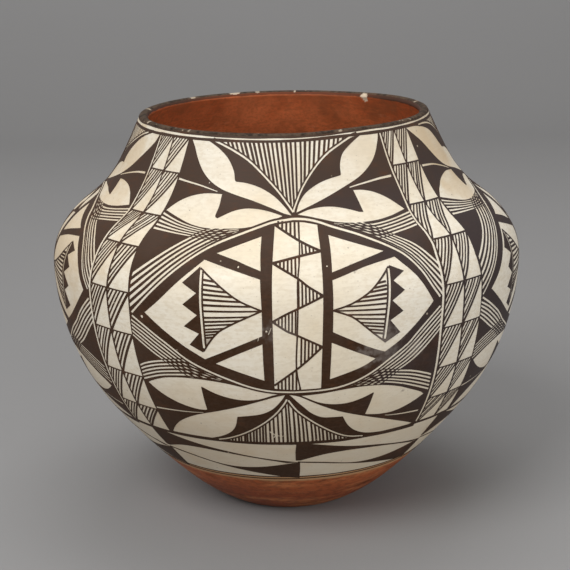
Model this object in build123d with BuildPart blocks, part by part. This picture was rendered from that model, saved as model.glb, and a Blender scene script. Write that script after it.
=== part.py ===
from build123d import *
from math import cos, radians, sin
import os

# Pueblo pottery jar: a coil-built water jar with a hollowed base, a wide high belly,
# a soft shoulder and a neck that leans in to a thin rounded lip.
#
# The potter presses the base into a shallow dish, lays coils of clay on it one by one, each
# lapped inside the one below, and scrapes them thin. The finished wall is coated with coloured
# slips: white over the outside, red under the belly and inside the mouth, black on the lip.
# The base, each coil and each coat is a solid of its own, and neighbours meet face to face.
#
# Frame: +Z up, origin in the middle of the ring that the jar stands on. Millimetres.

# Outside of the fired clay
foot_radius = 48.0
belly_radius = 165.5
belly_height = 180.0
lip_radius = 100.8
lip_height = 280.3

# Where the round stretches of the outside meet. Below the belly the shares are of the way out
# from the foot to the belly and of the way up to it. Above the belly they are of the way out
# from the lip to the belly and of the way up from the belly to the lip.
underbody_shares = (0.269, 0.125)
flank_shares = (0.713, 0.446)
shoulder_shares = (0.896, 0.226)
throat_shares = (0.629, 0.404)
neck_shares = (0.229, 0.694)

# Clay wall, its rounded lip, and the hollow pressed up inside the ring that the jar stands on
wall_thickness = 5.6
lip_crown = 1.2
ring_width = 8.0
ring_round = 1.6
hollow_depth = 9.0

# Coils: how many, how much of the outline the pressed base takes, and the angle between
# the wall's thickness and the joint where each coil laps inside the one below
coil_count = 6
pressed_base_share = 0.13
scarf_angle = 50.0

# Coats of slip, and the heights and depths where they stop
coat_thickness = 0.5
bare_foot_height = 1.2
base_line_height = 46.6
mouth_slip_depth = 62.0

# How far a cutting shape runs past what it cuts
overrun = 12.0

os.makedirs("parts", exist_ok=True)

foot = Vector(foot_radius, 0)
belly = Vector(belly_radius, belly_height)
lip = Vector(lip_radius, lip_height)


def outline_point(end, shares):
    """A point between the belly and the foot or the lip: shares of the way out and up."""
    out_share, up_share = shares
    low, high = (foot, belly) if end is foot else (belly, lip)
    radius = end.X + (belly.X - end.X) * out_share
    height = low.Y + (high.Y - low.Y) * up_share
    return Vector(radius, height)


# The outside of the wall is a chain of tangent arcs that starts upright at the belly:
# down over the flank and the underbody to the foot, and up over the shoulder to the lip.
underbody = outline_point(foot, underbody_shares)
flank = outline_point(foot, flank_shares)
shoulder = outline_point(lip, shoulder_shares)
throat = outline_point(lip, throat_shares)
neck = outline_point(lip, neck_shares)

with BuildLine() as outline:
    flank_arc = TangentArc(belly, flank, tangent=(0, -1))
    underbody_arc = TangentArc(flank, underbody, tangent=flank_arc % 1)
    foot_arc = TangentArc(underbody, foot, tangent=underbody_arc % 1)
    shoulder_arc = TangentArc(belly, shoulder, tangent=(0, 1))
    throat_arc = TangentArc(shoulder, throat, tangent=shoulder_arc % 1)
    neck_arc = TangentArc(throat, neck, tangent=throat_arc % 1)
    lip_arc = TangentArc(neck, lip, tangent=neck_arc % 1)
outline_arcs = (foot_arc, underbody_arc, flank_arc, shoulder_arc, throat_arc, neck_arc, lip_arc)


def way_up(line, share):
    """The direction of a stretch of the wall, which climbs all the way from foot to lip."""
    tangent = line % share
    return tangent if tangent.Y > 0 else tangent * -1


def out_from(line, share, distance):
    """The point that lies that distance outside the wall, or inside it if it is negative."""
    upward = way_up(line, share)
    return line @ share + Vector(upward.Y, -upward.X) * distance


def wall_line(distance):
    """The whole outline moved out by that distance, as arcs round the same centres."""
    for arc in outline_arcs:
        ThreePointArc(*(out_from(arc, share, distance) for share in (0, 0.5, 1)))


def lip_line(distance):
    """The rounded lip moved out by that distance, from the outside of the wall to its inside."""
    crown = out_from(lip_arc, 1, -wall_thickness / 2) + way_up(lip_arc, 1) * (lip_crown + distance)
    inside = out_from(lip_arc, 1, -wall_thickness - distance)
    ThreePointArc(out_from(lip_arc, 1, distance), crown, inside)


def wall_strip(inner_distance, outer_distance):
    """The face between two lines that follow the outline from the foot to the lip."""
    with BuildSketch() as strip:
        with BuildLine():
            wall_line(inner_distance)
            Line(out_from(lip_arc, 1, inner_distance), out_from(lip_arc, 1, outer_distance))
            wall_line(outer_distance)
            Line(out_from(foot_arc, 1, outer_distance), out_from(foot_arc, 1, inner_distance))
        make_face()
    return strip.sketch


def keep_heights(low, high):
    """Keeps what the open sketch has between two heights."""
    span = 2 * (belly_radius + overrun)
    with Locations((0, (low + high) / 2)):
        Rectangle(span, high - low, mode=Mode.INTERSECT)


def write(piece, name):
    """Labels a finished piece and writes it under its name."""
    piece.part.label = name
    export_step(piece.part, f"parts/{name}.step")


# Section of the clay: the dome and ring underneath, the outside, the lip, and the inside
ring_inner_radius = foot_radius - ring_width
with BuildLine():
    dome_arc = TangentArc((0, hollow_depth), (ring_inner_radius, 0), tangent=(1, 0))
dome_slope = dome_arc % 1
floor_edge = dome_arc @ 1 + Vector(-dome_slope.Y, dome_slope.X) * wall_thickness
floor_middle = (0, hollow_depth + wall_thickness)

with BuildSketch() as clay_section:
    with BuildLine():
        add(dome_arc)
        Line(dome_arc @ 1, foot)
        wall_line(0)
        lip_line(0)
        wall_line(-wall_thickness)
        Line(out_from(foot_arc, 1, -wall_thickness), floor_edge)
        TangentArc(floor_middle, floor_edge, tangent=(1, 0))
        Line(floor_middle, dome_arc @ 0)
    make_face()
    fillet(clay_section.vertices().group_by(Axis.Y)[0], radius=ring_round)
clay = clay_section.sketch

# Joints between the coils: each runs in from the outside and down through the wall
wall_up = outline.wire()
foot_end = 0 if (wall_up @ 0).Y < (wall_up @ 1).Y else 1
lap_reach = wall_thickness / cos(radians(scarf_angle)) + overrun


def joint_at(share):
    """Both ends of the cut that parts two coils at a share of the way from foot to lip."""
    along = abs(foot_end - share)
    upward = way_up(wall_up, along)
    inward = Vector(-upward.Y, upward.X)
    cut = inward * cos(radians(scarf_angle)) - upward * sin(radians(scarf_angle))
    return wall_up @ along - cut * overrun, wall_up @ along + cut * lap_reach


joint_shares = [
    pressed_base_share + (1 - pressed_base_share) * coil / coil_count
    for coil in range(coil_count)
]

# The pressed base is all the clay below the first joint
outside_end, inside_end = joint_at(joint_shares[0])
with BuildPart() as pressed_base:
    with BuildSketch(Plane.XZ):
        add(clay)
        with BuildLine():
            Polyline(
                outside_end,
                inside_end,
                (0, inside_end.Y),
                (0, -overrun),
                (outside_end.X, -overrun),
                close=True,
            )
        make_face(mode=Mode.INTERSECT)
    revolve(axis=Axis.Z)
write(pressed_base, "pressed_base")

# Each coil is the clay between its own joint and the next, and the last one has the lip
for coil, share in enumerate(joint_shares):
    below_outside, below_inside = joint_at(share)
    if coil + 1 < coil_count:
        name = f"wall_coil_{coil + 1}"
        above_outside, above_inside = joint_at(joint_shares[coil + 1])
    else:
        name = "lip_coil"
        above_outside = out_from(lip_arc, 1, overrun) + way_up(lip_arc, 1) * overrun
        above_inside = out_from(lip_arc, 1, -lap_reach) + way_up(lip_arc, 1) * overrun
    with BuildPart() as wall_coil:
        with BuildSketch(Plane.XZ):
            add(clay)
            with BuildLine():
                Polyline(below_outside, below_inside, above_inside, above_outside, close=True)
            make_face(mode=Mode.INTERSECT)
        revolve(axis=Axis.Z)
    write(wall_coil, name)

# The coats lie on the wall, outside and inside
outside_coat = wall_strip(0, coat_thickness)
inside_coat = wall_strip(-wall_thickness - coat_thickness, -wall_thickness)

# Red slip covers the underbody from the bare foot up to the base line
with BuildPart() as red_base_slip:
    with BuildSketch(Plane.XZ):
        add(outside_coat)
        keep_heights(bare_foot_height, base_line_height)
    revolve(axis=Axis.Z)
write(red_base_slip, "red_base_slip")

# White slip covers the rest of the outside, up to the painted lip
with BuildPart() as white_slip:
    with BuildSketch(Plane.XZ):
        add(outside_coat)
        keep_heights(base_line_height, lip_height + overrun)
    revolve(axis=Axis.Z)
write(white_slip, "white_slip")

# Red slip lines the inside of the mouth, below the painted lip
with BuildPart() as red_mouth_slip:
    with BuildSketch(Plane.XZ):
        add(inside_coat)
        keep_heights(lip_height - mouth_slip_depth, lip_height + overrun)
    revolve(axis=Axis.Z)
write(red_mouth_slip, "red_mouth_slip")

# Black paint wraps over the round of the lip and meets both slips
with BuildPart() as black_rim_paint:
    with BuildSketch(Plane.XZ):
        with BuildLine():
            lip_line(0)
            Line(lip, out_from(lip_arc, 1, coat_thickness))
            lip_line(coat_thickness)
            Line(
                out_from(lip_arc, 1, -wall_thickness),
                out_from(lip_arc, 1, -wall_thickness - coat_thickness),
            )
        make_face()
    revolve(axis=Axis.Z)
write(black_rim_paint, "black_rim_paint")
print("height of the finished jar:", round(black_rim_paint.part.bounding_box().max.Z, 2), "mm")
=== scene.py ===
# %% [markdown]
# A painted pueblo jar. The clay body comes from the CAD frame, and this lesson dresses it: the
# coats of slip, the worn black lip, and the painted ornament that covers the white slip. All
# pieces stand in the frame's own place and size, in metres, so nothing has to be fitted.

# %% Load the frame and keep its parts where they stand
import random
from math import asin, atan2, cos, degrees, pi, radians, sin, sqrt

import bpy
import numpy as np
from mathutils import Matrix, Vector, noise
from mathutils.geometry import delaunay_2d_cdt


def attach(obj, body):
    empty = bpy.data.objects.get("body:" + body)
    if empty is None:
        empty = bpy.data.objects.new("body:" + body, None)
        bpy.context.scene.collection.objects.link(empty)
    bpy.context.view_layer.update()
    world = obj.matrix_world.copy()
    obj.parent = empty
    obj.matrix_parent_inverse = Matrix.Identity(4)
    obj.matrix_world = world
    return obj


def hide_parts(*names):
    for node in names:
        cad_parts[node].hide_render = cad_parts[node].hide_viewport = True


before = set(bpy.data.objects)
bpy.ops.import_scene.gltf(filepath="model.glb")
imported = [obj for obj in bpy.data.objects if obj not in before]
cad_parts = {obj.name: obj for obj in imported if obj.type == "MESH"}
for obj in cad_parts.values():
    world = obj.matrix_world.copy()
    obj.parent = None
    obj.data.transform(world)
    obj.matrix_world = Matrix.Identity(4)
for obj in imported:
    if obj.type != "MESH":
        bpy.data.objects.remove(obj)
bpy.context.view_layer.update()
mm = 0.001
print("clay and coats from the frame:", sorted(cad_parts))

# %% [markdown]
# The camera looks a little down into the mouth, from the front of the jar, with a long lens. The
# picture was taken with the camera turned by about one degree, so the rim climbs to the right;
# the camera here is turned by the same amount. A small shift puts the jar where the picture
# has it.

# %% Camera
camera_place = Vector((0, -1.042, 0.439))
camera_pitch = radians(16.0)
camera_roll = 0.017
lens_length = 93.8
sensor_width = 36.0
picture_shift = (-0.004, 0.0303)

camera_data = bpy.data.cameras.new("studio_camera")
camera_data.lens = lens_length
camera_data.sensor_width = sensor_width
camera_data.shift_x, camera_data.shift_y = picture_shift
camera = bpy.data.objects.new("studio_camera", camera_data)
bpy.context.scene.collection.objects.link(camera)
tip_down = Matrix.Rotation(pi / 2 - camera_pitch, 4, "X")
roll = Matrix.Rotation(-camera_roll, 4, "Z")
camera.matrix_world = Matrix.Translation(camera_place) @ tip_down @ roll
bpy.context.scene.camera = camera
print("camera looks down by", round(degrees(camera_pitch), 1), "degrees")

# %% [markdown]
# The jar stands on a plain pale floor that curves up into the backdrop behind it, as a roll of
# paper does in a studio. One wide soft lamp from the upper left is the main light, a weaker one
# opens the right side, a third shines down from behind on the lip and the shoulder, and the
# world gives a little light from all around.

# %% Floor and backdrop in one sheet
floor_width = 6.0
floor_front = -2.6
floor_back = 1.5
backdrop_bend = 0.9
backdrop_height = 3.2
bend_steps = 24

sheet_line = [(floor_front, 0.0), (floor_back, 0.0)]
for step in range(1, bend_steps + 1):
    turn = pi / 2 * step / bend_steps
    sheet_line.append((floor_back + backdrop_bend * sin(turn), backdrop_bend * (1 - cos(turn))))
sheet_line.append((floor_back + backdrop_bend, backdrop_height))
sheet_points = [(side * floor_width / 2, y, z) for y, z in sheet_line for side in (-1, 1)]
sheet_faces = [(2 * i, 2 * i + 1, 2 * i + 3, 2 * i + 2) for i in range(len(sheet_line) - 1)]
floor_mesh = bpy.data.meshes.new("paper_floor")
floor_mesh.from_pydata(sheet_points, [], sheet_faces)
floor_mesh.shade_smooth()
floor = bpy.data.objects.new("paper_floor", floor_mesh)
bpy.context.scene.collection.objects.link(floor)

print("floor and backdrop:", len(sheet_faces), "faces")


# %% Lamps
jar_middle = Vector((0, 0, 0.14))
air_light = 0.37
soft_boxes = [
    ("main_soft_box", (-1.1, -1.5, 1.9), 1.3, 39.5),
    ("side_soft_box", (1.5, -1.6, 0.6), 1.2, 15.5),
    ("top_soft_box", (0.1, 0.5, 2.2), 1.4, 16),
]

for name, place, size, power in soft_boxes:
    lamp_data = bpy.data.lights.new(name, "AREA")
    lamp_data.shape = "SQUARE"
    lamp_data.size = size
    lamp_data.energy = power
    lamp = bpy.data.objects.new(name, lamp_data)
    lamp.location = place
    lamp.rotation_euler = (jar_middle - Vector(place)).to_track_quat("-Z", "Y").to_euler()
    bpy.context.scene.collection.objects.link(lamp)
world = bpy.data.worlds.new("studio_air")
world.use_nodes = True
air = world.node_tree.nodes["Background"].inputs
air["Color"].default_value = (1, 1, 1, 1)
air["Strength"].default_value = air_light
bpy.context.scene.world = world
bpy.context.scene.view_settings.view_transform = "Standard"
print("lamps:", len(soft_boxes), "soft boxes and the air")

# %% [markdown]
# A potter builds this jar from coils and scrapes the wall to one flowing line. The line is a
# chain of round stretches that starts upright at the belly and runs down to the foot and up to
# the lip, each stretch leaving in the direction in which the last one ended. The coats follow
# the same line, so it is worked out once and read by height.

# %% Sizes of the wall, in millimetres
foot_radius = 48.0
belly_radius = 165.5
belly_height = 180.0
lip_radius = 100.8
lip_height = 280.3
wall_thickness = 5.6
lip_crown = 1.2
coat_thickness = 0.5
bare_foot_height = 1.2
base_line_height = 46.6
mouth_slip_depth = 62.0

underbody_shares = (0.269, 0.125)
flank_shares = (0.713, 0.446)
shoulder_shares = (0.896, 0.226)
throat_shares = (0.629, 0.404)
neck_shares = (0.229, 0.694)


# %% The wall as a chain of round stretches
def below_belly(shares):
    """A point so far out from the foot to the belly and so far up to it."""
    out, up = shares
    return Vector((foot_radius + (belly_radius - foot_radius) * out, belly_height * up))


def above_belly(shares):
    """A point so far out from the lip to the belly and so far up to the lip."""
    out, up = shares
    height = belly_height + (lip_height - belly_height) * up
    return Vector((lip_radius + (belly_radius - lip_radius) * out, height))


def round_stretch(start, heading, end, steps=48):
    """Points on the arc that leaves start in the heading's direction and ends at end."""
    way = end - start
    side = Vector((-heading.y, heading.x))
    bend = 2 * way.dot(side) / way.length_squared
    sweep = 2 * atan2(way.dot(side), way.dot(heading))
    centre = start + side / bend
    points = []
    for step in range(1, steps + 1):
        turn = sweep * step / steps
        points.append(centre + heading * sin(turn) / bend - side * cos(turn) / bend)
    return points, heading * cos(sweep) + side * sin(sweep)


def chain_of_stretches(start, heading, ends):
    """The arcs one after the other, as one row of points."""
    line = [start]
    for end in ends:
        points, heading = round_stretch(line[-1], heading, end)
        line += points
    return line


belly = Vector((belly_radius, belly_height))
foot = Vector((foot_radius, 0))
lip = Vector((lip_radius, lip_height))
lower_ends = [below_belly(flank_shares), below_belly(underbody_shares), foot]
upper_ends = [above_belly(shares) for shares in (shoulder_shares, throat_shares, neck_shares)]
lower_line = chain_of_stretches(belly, Vector((0, -1)), lower_ends)
upper_line = chain_of_stretches(belly, Vector((0, 1)), upper_ends + [lip])
wall_line = lower_line[::-1] + upper_line[1:]
wall_radii = np.array([point.x for point in wall_line])
wall_heights = np.array([point.y for point in wall_line])
wall_slopes = np.gradient(wall_radii, wall_heights)
wall_steps = np.hypot(np.diff(wall_radii), np.diff(wall_heights))
wall_lengths = np.concatenate([[0], np.cumsum(wall_steps)])
print("wall from foot to lip:", round(float(wall_lengths[-1]), 1), "mm along its line")


# %% [markdown]
# Everything that lies on the wall is placed by an angle round the jar, with 0 at the front, a
# height, and a distance out from the clay. The angle grows to the right as the camera sees it.

# %% From angle and height to a place on the wall
lip_rise_most = 1.3
lip_rise_low = 238.0
lip_rise_angles = (4, 30, 112, 160)


def radius_at(height):
    """Radius of the clay outside at that height."""
    return float(np.interp(height, wall_heights, wall_radii))


def length_at(height):
    """How far along its line the wall reaches that height."""
    return float(np.interp(height, wall_heights, wall_lengths))


def section_point(height, out):
    """Radius and height of the point that lies out from the wall by that distance."""
    slope = float(np.interp(height, wall_heights, wall_slopes))
    tilt = sqrt(1 + slope * slope)
    return radius_at(height) + out / tilt, height - out * slope / tilt


def lip_rise(angle, height):
    """How much higher the lip stands on the right, where the last coil was laid a little full."""
    turn = (angle + 180) % 360 - 180
    round_share = float(np.interp(turn, lip_rise_angles, (0, 1, 1, 0)))
    up = max(0.0, min(1.0, (height - lip_rise_low) / (lip_height - lip_rise_low)))
    return lip_rise_most * (1 - cos(pi * round_share)) / 2 * up * up * (3 - 2 * up)


def turned(radius, height, angle):
    """A point of the section turned round the axis, in metres; the lip rises along the wall."""
    across = sin(radians(angle))
    front = -cos(radians(angle))
    rise = lip_rise(angle, height)
    reach = radius + rise * float(np.interp(height, wall_heights, wall_slopes))
    return Vector((reach * across * mm, reach * front * mm, (height + rise) * mm))


def on_wall(angle, height, out):
    """The place in metres for an angle in degrees, a height and a distance out."""
    radius, level = section_point(height, out)
    return turned(radius, level, angle)


print("belly at the front:", [round(v, 4) for v in on_wall(0, belly_height, coat_thickness)])


# %% [markdown]
# A coat of slip is a thin closed shell. Its section is a loop of points: up along its outer face
# and back down its inner face. Turning that loop round the axis gives the shell, and the map of
# its surface runs round the jar one way and along the section the other way.

# %% Shells turned from a section
chip_depth = 0.85
crease_angle = radians(50)


def finish_piece(name, mesh, slot, *replaced):
    """Makes an object of the mesh that rides on the jar and hides the parts that it replaces."""
    piece = bpy.data.objects.new(name, mesh)
    bpy.context.scene.collection.objects.link(piece)
    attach(piece, "root")
    if replaced:
        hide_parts(*replaced)
    print(name, "has", len(mesh.polygons), "faces")
    return piece


def turned_shell(name, loop, slot, *replaced, bare=None, chips=None, columns=288):
    """A closed shell from a loop of (radius, height) points; chips pull it to the bare loop."""
    rows = len(loop)
    points, chipped = [], []
    for column in range(columns):
        angle = 360 * column / columns - 180
        for row, (radius, height) in enumerate(loop):
            gone = chips(angle, height) if chips else 0.0
            if chips:
                radius += (bare[row][0] - radius) * gone * chip_depth
                height += (bare[row][1] - height) * gone * chip_depth
            points.append(turned(radius, height, angle))
            chipped.append(gone)
    lengths = [0.0]
    for row in range(rows):
        here, there = loop[row], loop[(row + 1) % rows]
        lengths.append(lengths[-1] + sqrt((here[0] - there[0]) ** 2 + (here[1] - there[1]) ** 2))
    faces, places = [], []
    for column in range(columns):
        beside = (column + 1) % columns
        for row in range(rows):
            above = (row + 1) % rows
            here, there = column * rows, beside * rows
            faces.append((here + row, there + row, there + above, here + above))
            left, right = column / columns, (column + 1) / columns
            low, high = lengths[row] / lengths[-1], lengths[row + 1] / lengths[-1]
            places += [(left, low), (right, low), (right, high), (left, high)]
    mesh = bpy.data.meshes.new(name)
    mesh.from_pydata(points, [], faces)
    surface_map = mesh.uv_layers.new(name="OFBake")
    for corner, place in zip(surface_map.data, places):
        corner.uv = place
    if chips:
        mesh.attributes.new("chipped", "FLOAT", "POINT").data.foreach_set("value", chipped)
    mesh.shade_smooth()
    mesh.set_sharp_from_angle(angle=crease_angle)
    return finish_piece(name, mesh, slot, *replaced)


def coat_loop(low, high, inner, outer, step=2.4):
    """The loop of a coat between two heights and two distances out from the wall."""
    count = max(3, round((length_at(high) - length_at(low)) / step))
    lengths = np.linspace(length_at(low), length_at(high), count + 1)
    heights = np.interp(lengths, wall_lengths, wall_heights)
    near, far = sorted((inner, outer))
    outside = [section_point(h, far) for h in heights]
    inside = [section_point(h, near) for h in heights]
    return outside + inside[::-1]


# %% [markdown]
# The lip is the last half round of the wall, painted black and worn by hands, lids and dippers.
# Its paint is a curved band over the top of the wall. Small chips have gone where it was
# knocked: they are dents in the band, and a mask that the material reads shows pale clay there.

# %% Worn black lip
lip_steps = 14
lip_slope = float(wall_slopes[-1])
lip_tilt = sqrt(1 + lip_slope * lip_slope)
lip_up = Vector((lip_slope / lip_tilt, 1 / lip_tilt))
lip_out = Vector((1 / lip_tilt, -lip_slope / lip_tilt))


def lip_arch(lift):
    """Points over the top of the lip, moved out from the clay by the lift."""
    outer = lip + lip_out * lift
    crown = lip - lip_out * wall_thickness / 2 + lip_up * (lip_crown + lift)
    inner = lip - lip_out * (wall_thickness + lift)
    half_width = (outer - inner).length / 2
    middle = (outer + inner) / 2
    rise = (crown - middle).length
    bow = (half_width * half_width + rise * rise) / (2 * rise)
    centre = middle - lip_up * (bow - rise)
    spread = asin(half_width / bow)
    arch = []
    for step in range(lip_steps + 1):
        turn = spread * (1 - 2 * step / lip_steps)
        arch.append(centre + lip_out * bow * sin(turn) + lip_up * bow * cos(turn))
    return arch


black_share = 0.62
lip_paint_edge = 279.1
split = round(lip_steps * black_share)
arch_top, arch_clay = lip_arch(coat_thickness), lip_arch(0.0)
edge_room = lip_height - lip_paint_edge
edge_heights = [lip_paint_edge + edge_room * step / 3 for step in range(3)]
black_loop = [section_point(height, coat_thickness) for height in edge_heights]
black_loop += [tuple(point) for point in arch_top[: split + 1]]
black_bare = [section_point(height, 0) for height in edge_heights]
black_bare += [tuple(point) for point in arch_clay[: split + 1]]
black_loop += black_bare[::-1]
black_bare += black_bare[::-1]

chip_rag = 0.35
rag_per_mm = 0.8
chip_outside = 1.08
chip_softness = 0.15
lip_chips = [
    (140.9, 279.0, 2.9, 2.0, 1.0), (140.2, 276.9, 2.2, 2.2, 1.0), (175.0, 281.0, 0.9, 0.8, 0.9),
    (-157.6, 280.9, 4.4, 0.8, 0.75), (-136.0, 281.0, 2.4, 0.7, 0.6),
    (-168.0, 280.8, 1.6, 0.6, 0.5), (-38.0, 280.6, 0.9, 0.7, 0.6), (21.0, 280.4, 0.8, 0.6, 0.5),
    (57.0, 280.8, 1.0, 0.8, 0.45), (-66.0, 280.6, 1.2, 0.8, 0.7), (104.0, 281.0, 1.2, 0.7, 0.6),
    (-100.0, 280.8, 1.3, 0.8, 0.6),
]


def chipped_lip(angle, height):
    """How far the coat is gone at that place of the lip, from 0 to 1."""
    gone = 0.0
    for chip_angle, chip_height, half_length, half_height, most in lip_chips:
        turn = (angle - chip_angle + 180) % 360 - 180
        across = radians(turn) * lip_radius
        if abs(across) > 2 * half_length:
            continue
        rag_place = Vector((across * rag_per_mm, height * rag_per_mm, chip_angle))
        away = sqrt((across / half_length) ** 2 + ((height - chip_height) / half_height) ** 2)
        away += noise.noise(rag_place) * chip_rag
        gone = max(gone, most * max(0.0, min(1.0, (chip_outside - away) / chip_softness)))
    return gone


black_lip = turned_shell(
    "worn_black_lip", black_loop, "black_rim_paint", "black_rim_paint",
    bare=black_bare, chips=chipped_lip, columns=576,
)

# %% Slips on the outside and inside the mouth
white_loop = coat_loop(base_line_height, lip_paint_edge, 0, coat_thickness)
white_slip = turned_shell("white_slip_skin", white_loop, "white_slip", "white_slip")
red_loop = coat_loop(bare_foot_height, base_line_height, 0, coat_thickness)
red_base = turned_shell("red_underbody_slip", red_loop, "red_base_slip", "red_base_slip")
mouth_low = lip_height - mouth_slip_depth
throat_heights = np.linspace(mouth_low, 270, 16)
mouth_heights = np.concatenate([throat_heights, np.linspace(271, lip_height, 15)])
mouth_loop = [section_point(h, -wall_thickness - coat_thickness) for h in mouth_heights[:-1]]
mouth_loop += [tuple(point) for point in arch_top[split:][::-1]]
mouth_bare = [section_point(h, -wall_thickness) for h in mouth_heights[:-1]]
mouth_bare += [tuple(point) for point in arch_clay[split:][::-1]]
mouth_loop = (mouth_loop + mouth_bare[::-1])[::-1]
mouth_bare = (mouth_bare + mouth_bare[::-1])[::-1]
red_mouth = turned_shell(
    "red_mouth_wash", mouth_loop, "red_mouth_slip", "red_mouth_slip",
    bare=mouth_bare, chips=chipped_lip, columns=576,
)

# %% [markdown]
# The ornament is laid out flat before it is wrapped round the jar: across is the angle in
# degrees, up is the height in millimetres. The numbers were read off the front of the
# jar, where it had been seen by the turned camera, so they are straightened by the same turn.
# The jar stands a little left of where it was read, and the shoulder a little lower, so the
# readings move by those small amounts too.

# %% Straightening what the turned camera saw
roll_centre_height = 140.0
reading_shifts = [(80, -0.9), (120, -0.95), (145, -1.25), (205, -1.25), (235, -0.85),
    (262, -0.85), (278, -1.2)]
reading_lifts = [(44, 0), (60, 0.3), (150, 0.3), (180, 0.1), (195, 0.35), (212, 0.1),
    (230, -0.25), (255, -0.2), (270, 0.3), (277, 0)]
reading_tilts = [(95, 0), (190, 0.5), (240, 0.5), (262, 0)]
reading_tilt_angle = 45


def by_reading(table, height):
    """A correction in millimetres, read from its table by height."""
    heights, values = zip(*table)
    return float(np.interp(height, heights, values))


def straightened(point):
    """Where a point seen by the turned camera lies on the level jar."""
    angle, height = point
    seen_across = radius_at(height) * sin(radians(angle))
    across = seen_across + by_reading(reading_shifts, height)
    across += camera_roll * (height - roll_centre_height)
    level = height - camera_roll * seen_across + by_reading(reading_lifts, height)
    level += by_reading(reading_tilts, height) * angle / reading_tilt_angle
    share = max(-1.0, min(1.0, across / radius_at(level)))
    return Vector((degrees(asin(share)), level))


print("a point at the front right:", [round(v, 1) for v in straightened((36, 250))])

# %% [markdown]
# A painter's outline is made of soft strokes that meet at corners. Each stroke needs only a few
# points; a smooth line through them gives the rest. A stripe is such a line with a width. Each
# closed outline gets one or more tags, which say what it is.

# %% Strokes, outlines and stripes
degree_length = 2.6
drawing = []


def smooth(*points, steps=3):
    """A soft line through the points."""
    line = [Vector(p) for p in points]
    if len(line) == 2:
        return line
    ends = [2 * line[0] - line[1]] + line + [2 * line[-1] - line[-2]]
    soft = [line[0]]
    for before, start, end, after in zip(ends, ends[1:], ends[2:], ends[3:]):
        for step in range(1, steps + 1):
            t = step / steps
            bend = 2 * before - 5 * start + 4 * end - after
            curl = 3 * start - before - 3 * end + after
            soft.append((2 * start + (end - before) * t + bend * t * t + curl * t * t * t) / 2)
    return soft


def outline(*strokes):
    """One closed outline from strokes that follow each other."""
    return [point for stroke in strokes for point in stroke]


def drawn(*strokes):
    """One closed outline from soft strokes, each given by its points."""
    return outline(*(smooth(*stroke) for stroke in strokes))


def stripe(line, width, end_width=None):
    """The outline of a brush line that is as wide as said, in millimetres, from start to end."""
    end_width = width if end_width is None else end_width
    left, right = [], []
    for i, point in enumerate(line):
        ahead = line[min(i + 1, len(line) - 1)] - line[max(i - 1, 0)]
        flat = Vector((ahead.x * degree_length, ahead.y)).normalized()
        wide = (width + (end_width - width) * i / (len(line) - 1)) / 2
        side = Vector((-flat.y / degree_length, flat.x)) * wide
        left.append(point + side)
        right.append(point - side)
    return left + right[::-1]


def resampled(line, count):
    """The same line with evenly spaced points."""
    flat = [Vector((p.x * degree_length, p.y)) for p in line]
    along = np.concatenate([[0], np.cumsum([(b - a).length for a, b in zip(flat, flat[1:])])])
    marks = np.linspace(0, along[-1], count)
    across = np.interp(marks, along, [p.x for p in line])
    up = np.interp(marks, along, [p.y for p in line])
    return [Vector(p) for p in zip(across, up)]


def lines_between(first, last, count, share=0.5, points=14):
    """Outlines of evenly spread stripes that fill the field between two guide lines."""
    first, last = resampled(first, points), resampled(last, points)
    outlines = []
    for number in range(count):
        low = (number + 0.5 - share / 2) / count
        high = (number + 0.5 + share / 2) / count
        one_side = [a + (b - a) * low for a, b in zip(first, last)]
        other_side = [a + (b - a) * high for a, b in zip(first, last)]
        outlines.append(one_side + other_side[::-1])
    return outlines


def add_shape(tag, points, place):
    """Adds a closed outline to the drawing, put in its place on the jar."""
    drawing.append((tag, [place(point) for point in points]))


print("one degree is drawn as", degree_length, "mm")

# %% [markdown]
# Slanting bands of small boxes part the panels. Each band has a plain border stripe on its left
# and two columns of boxes. The heights where the cross lines run and the angles of the upright
# lines were read off the jar: a painter works by eye, so no two boxes are alike.

# %% The two bands that face the camera
left_band = {
    "border": smooth((-52.6, 277), (-52.6, 240), (-51.4, 228), (-51.3, 214), (-50.8, 200),
        (-50.8, 182), (-50.5, 158), (-50.2, 122), (-50.4, 98), (-50.8, 80)),
    "column": smooth((-51.8, 277), (-51.7, 240), (-50.5, 228), (-50.5, 214), (-50.1, 200),
        (-50.1, 182), (-49.8, 158), (-49.5, 122), (-49.7, 98), (-50.1, 80)),
    "divider": smooth((-45.1, 277), (-45.1, 232), (-45, 212), (-44.4, 204), (-44.2, 181),
        (-43.8, 158), (-43.5, 128), (-43.3, 108), (-43.2, 80)),
    "edge": smooth((-37.1, 277), (-37.4, 255), (-37.8, 232), (-38.1, 214), (-37.6, 200),
        (-37, 182), (-36.7, 155), (-36.2, 118), (-35.7, 94), (-35.6, 80)),
    "rows": (275.6, 253.5, 228.3, 211, 184.3, 156, 125.8, 100.3, 81.4),
}
right_band = {
    "border": smooth((36.6, 280), (36.8, 262), (38, 243), (37.7, 228), (38.4, 216), (37.4, 204),
        (37, 181), (36.9, 160), (37.4, 140), (38, 122), (38.5, 104), (39, 84)),
    "column": smooth((37.5, 280), (37.8, 262), (38.8, 243), (38.6, 228), (39.1, 216),
        (38.3, 204), (37.8, 181), (37.7, 160), (38.2, 140), (38.8, 122), (39.3, 104), (39.8, 84)),
    "divider": smooth((43.8, 280), (44.4, 264), (45.4, 241), (45.4, 228), (45.7, 216),
        (44.4, 204), (43.9, 190), (43.9, 163), (44.7, 140), (45.4, 122), (46.6, 92)),
    "edge": smooth((51.5, 280), (52, 256), (52.7, 234), (52.5, 217), (51.2, 206), (50.6, 196),
        (50.8, 163), (51.4, 135), (52.2, 108), (53.4, 86)),
    "rows": (278.3, 257.3, 234, 214.8, 188.3, 160, 131, 107.5, 87.6),
}


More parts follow.
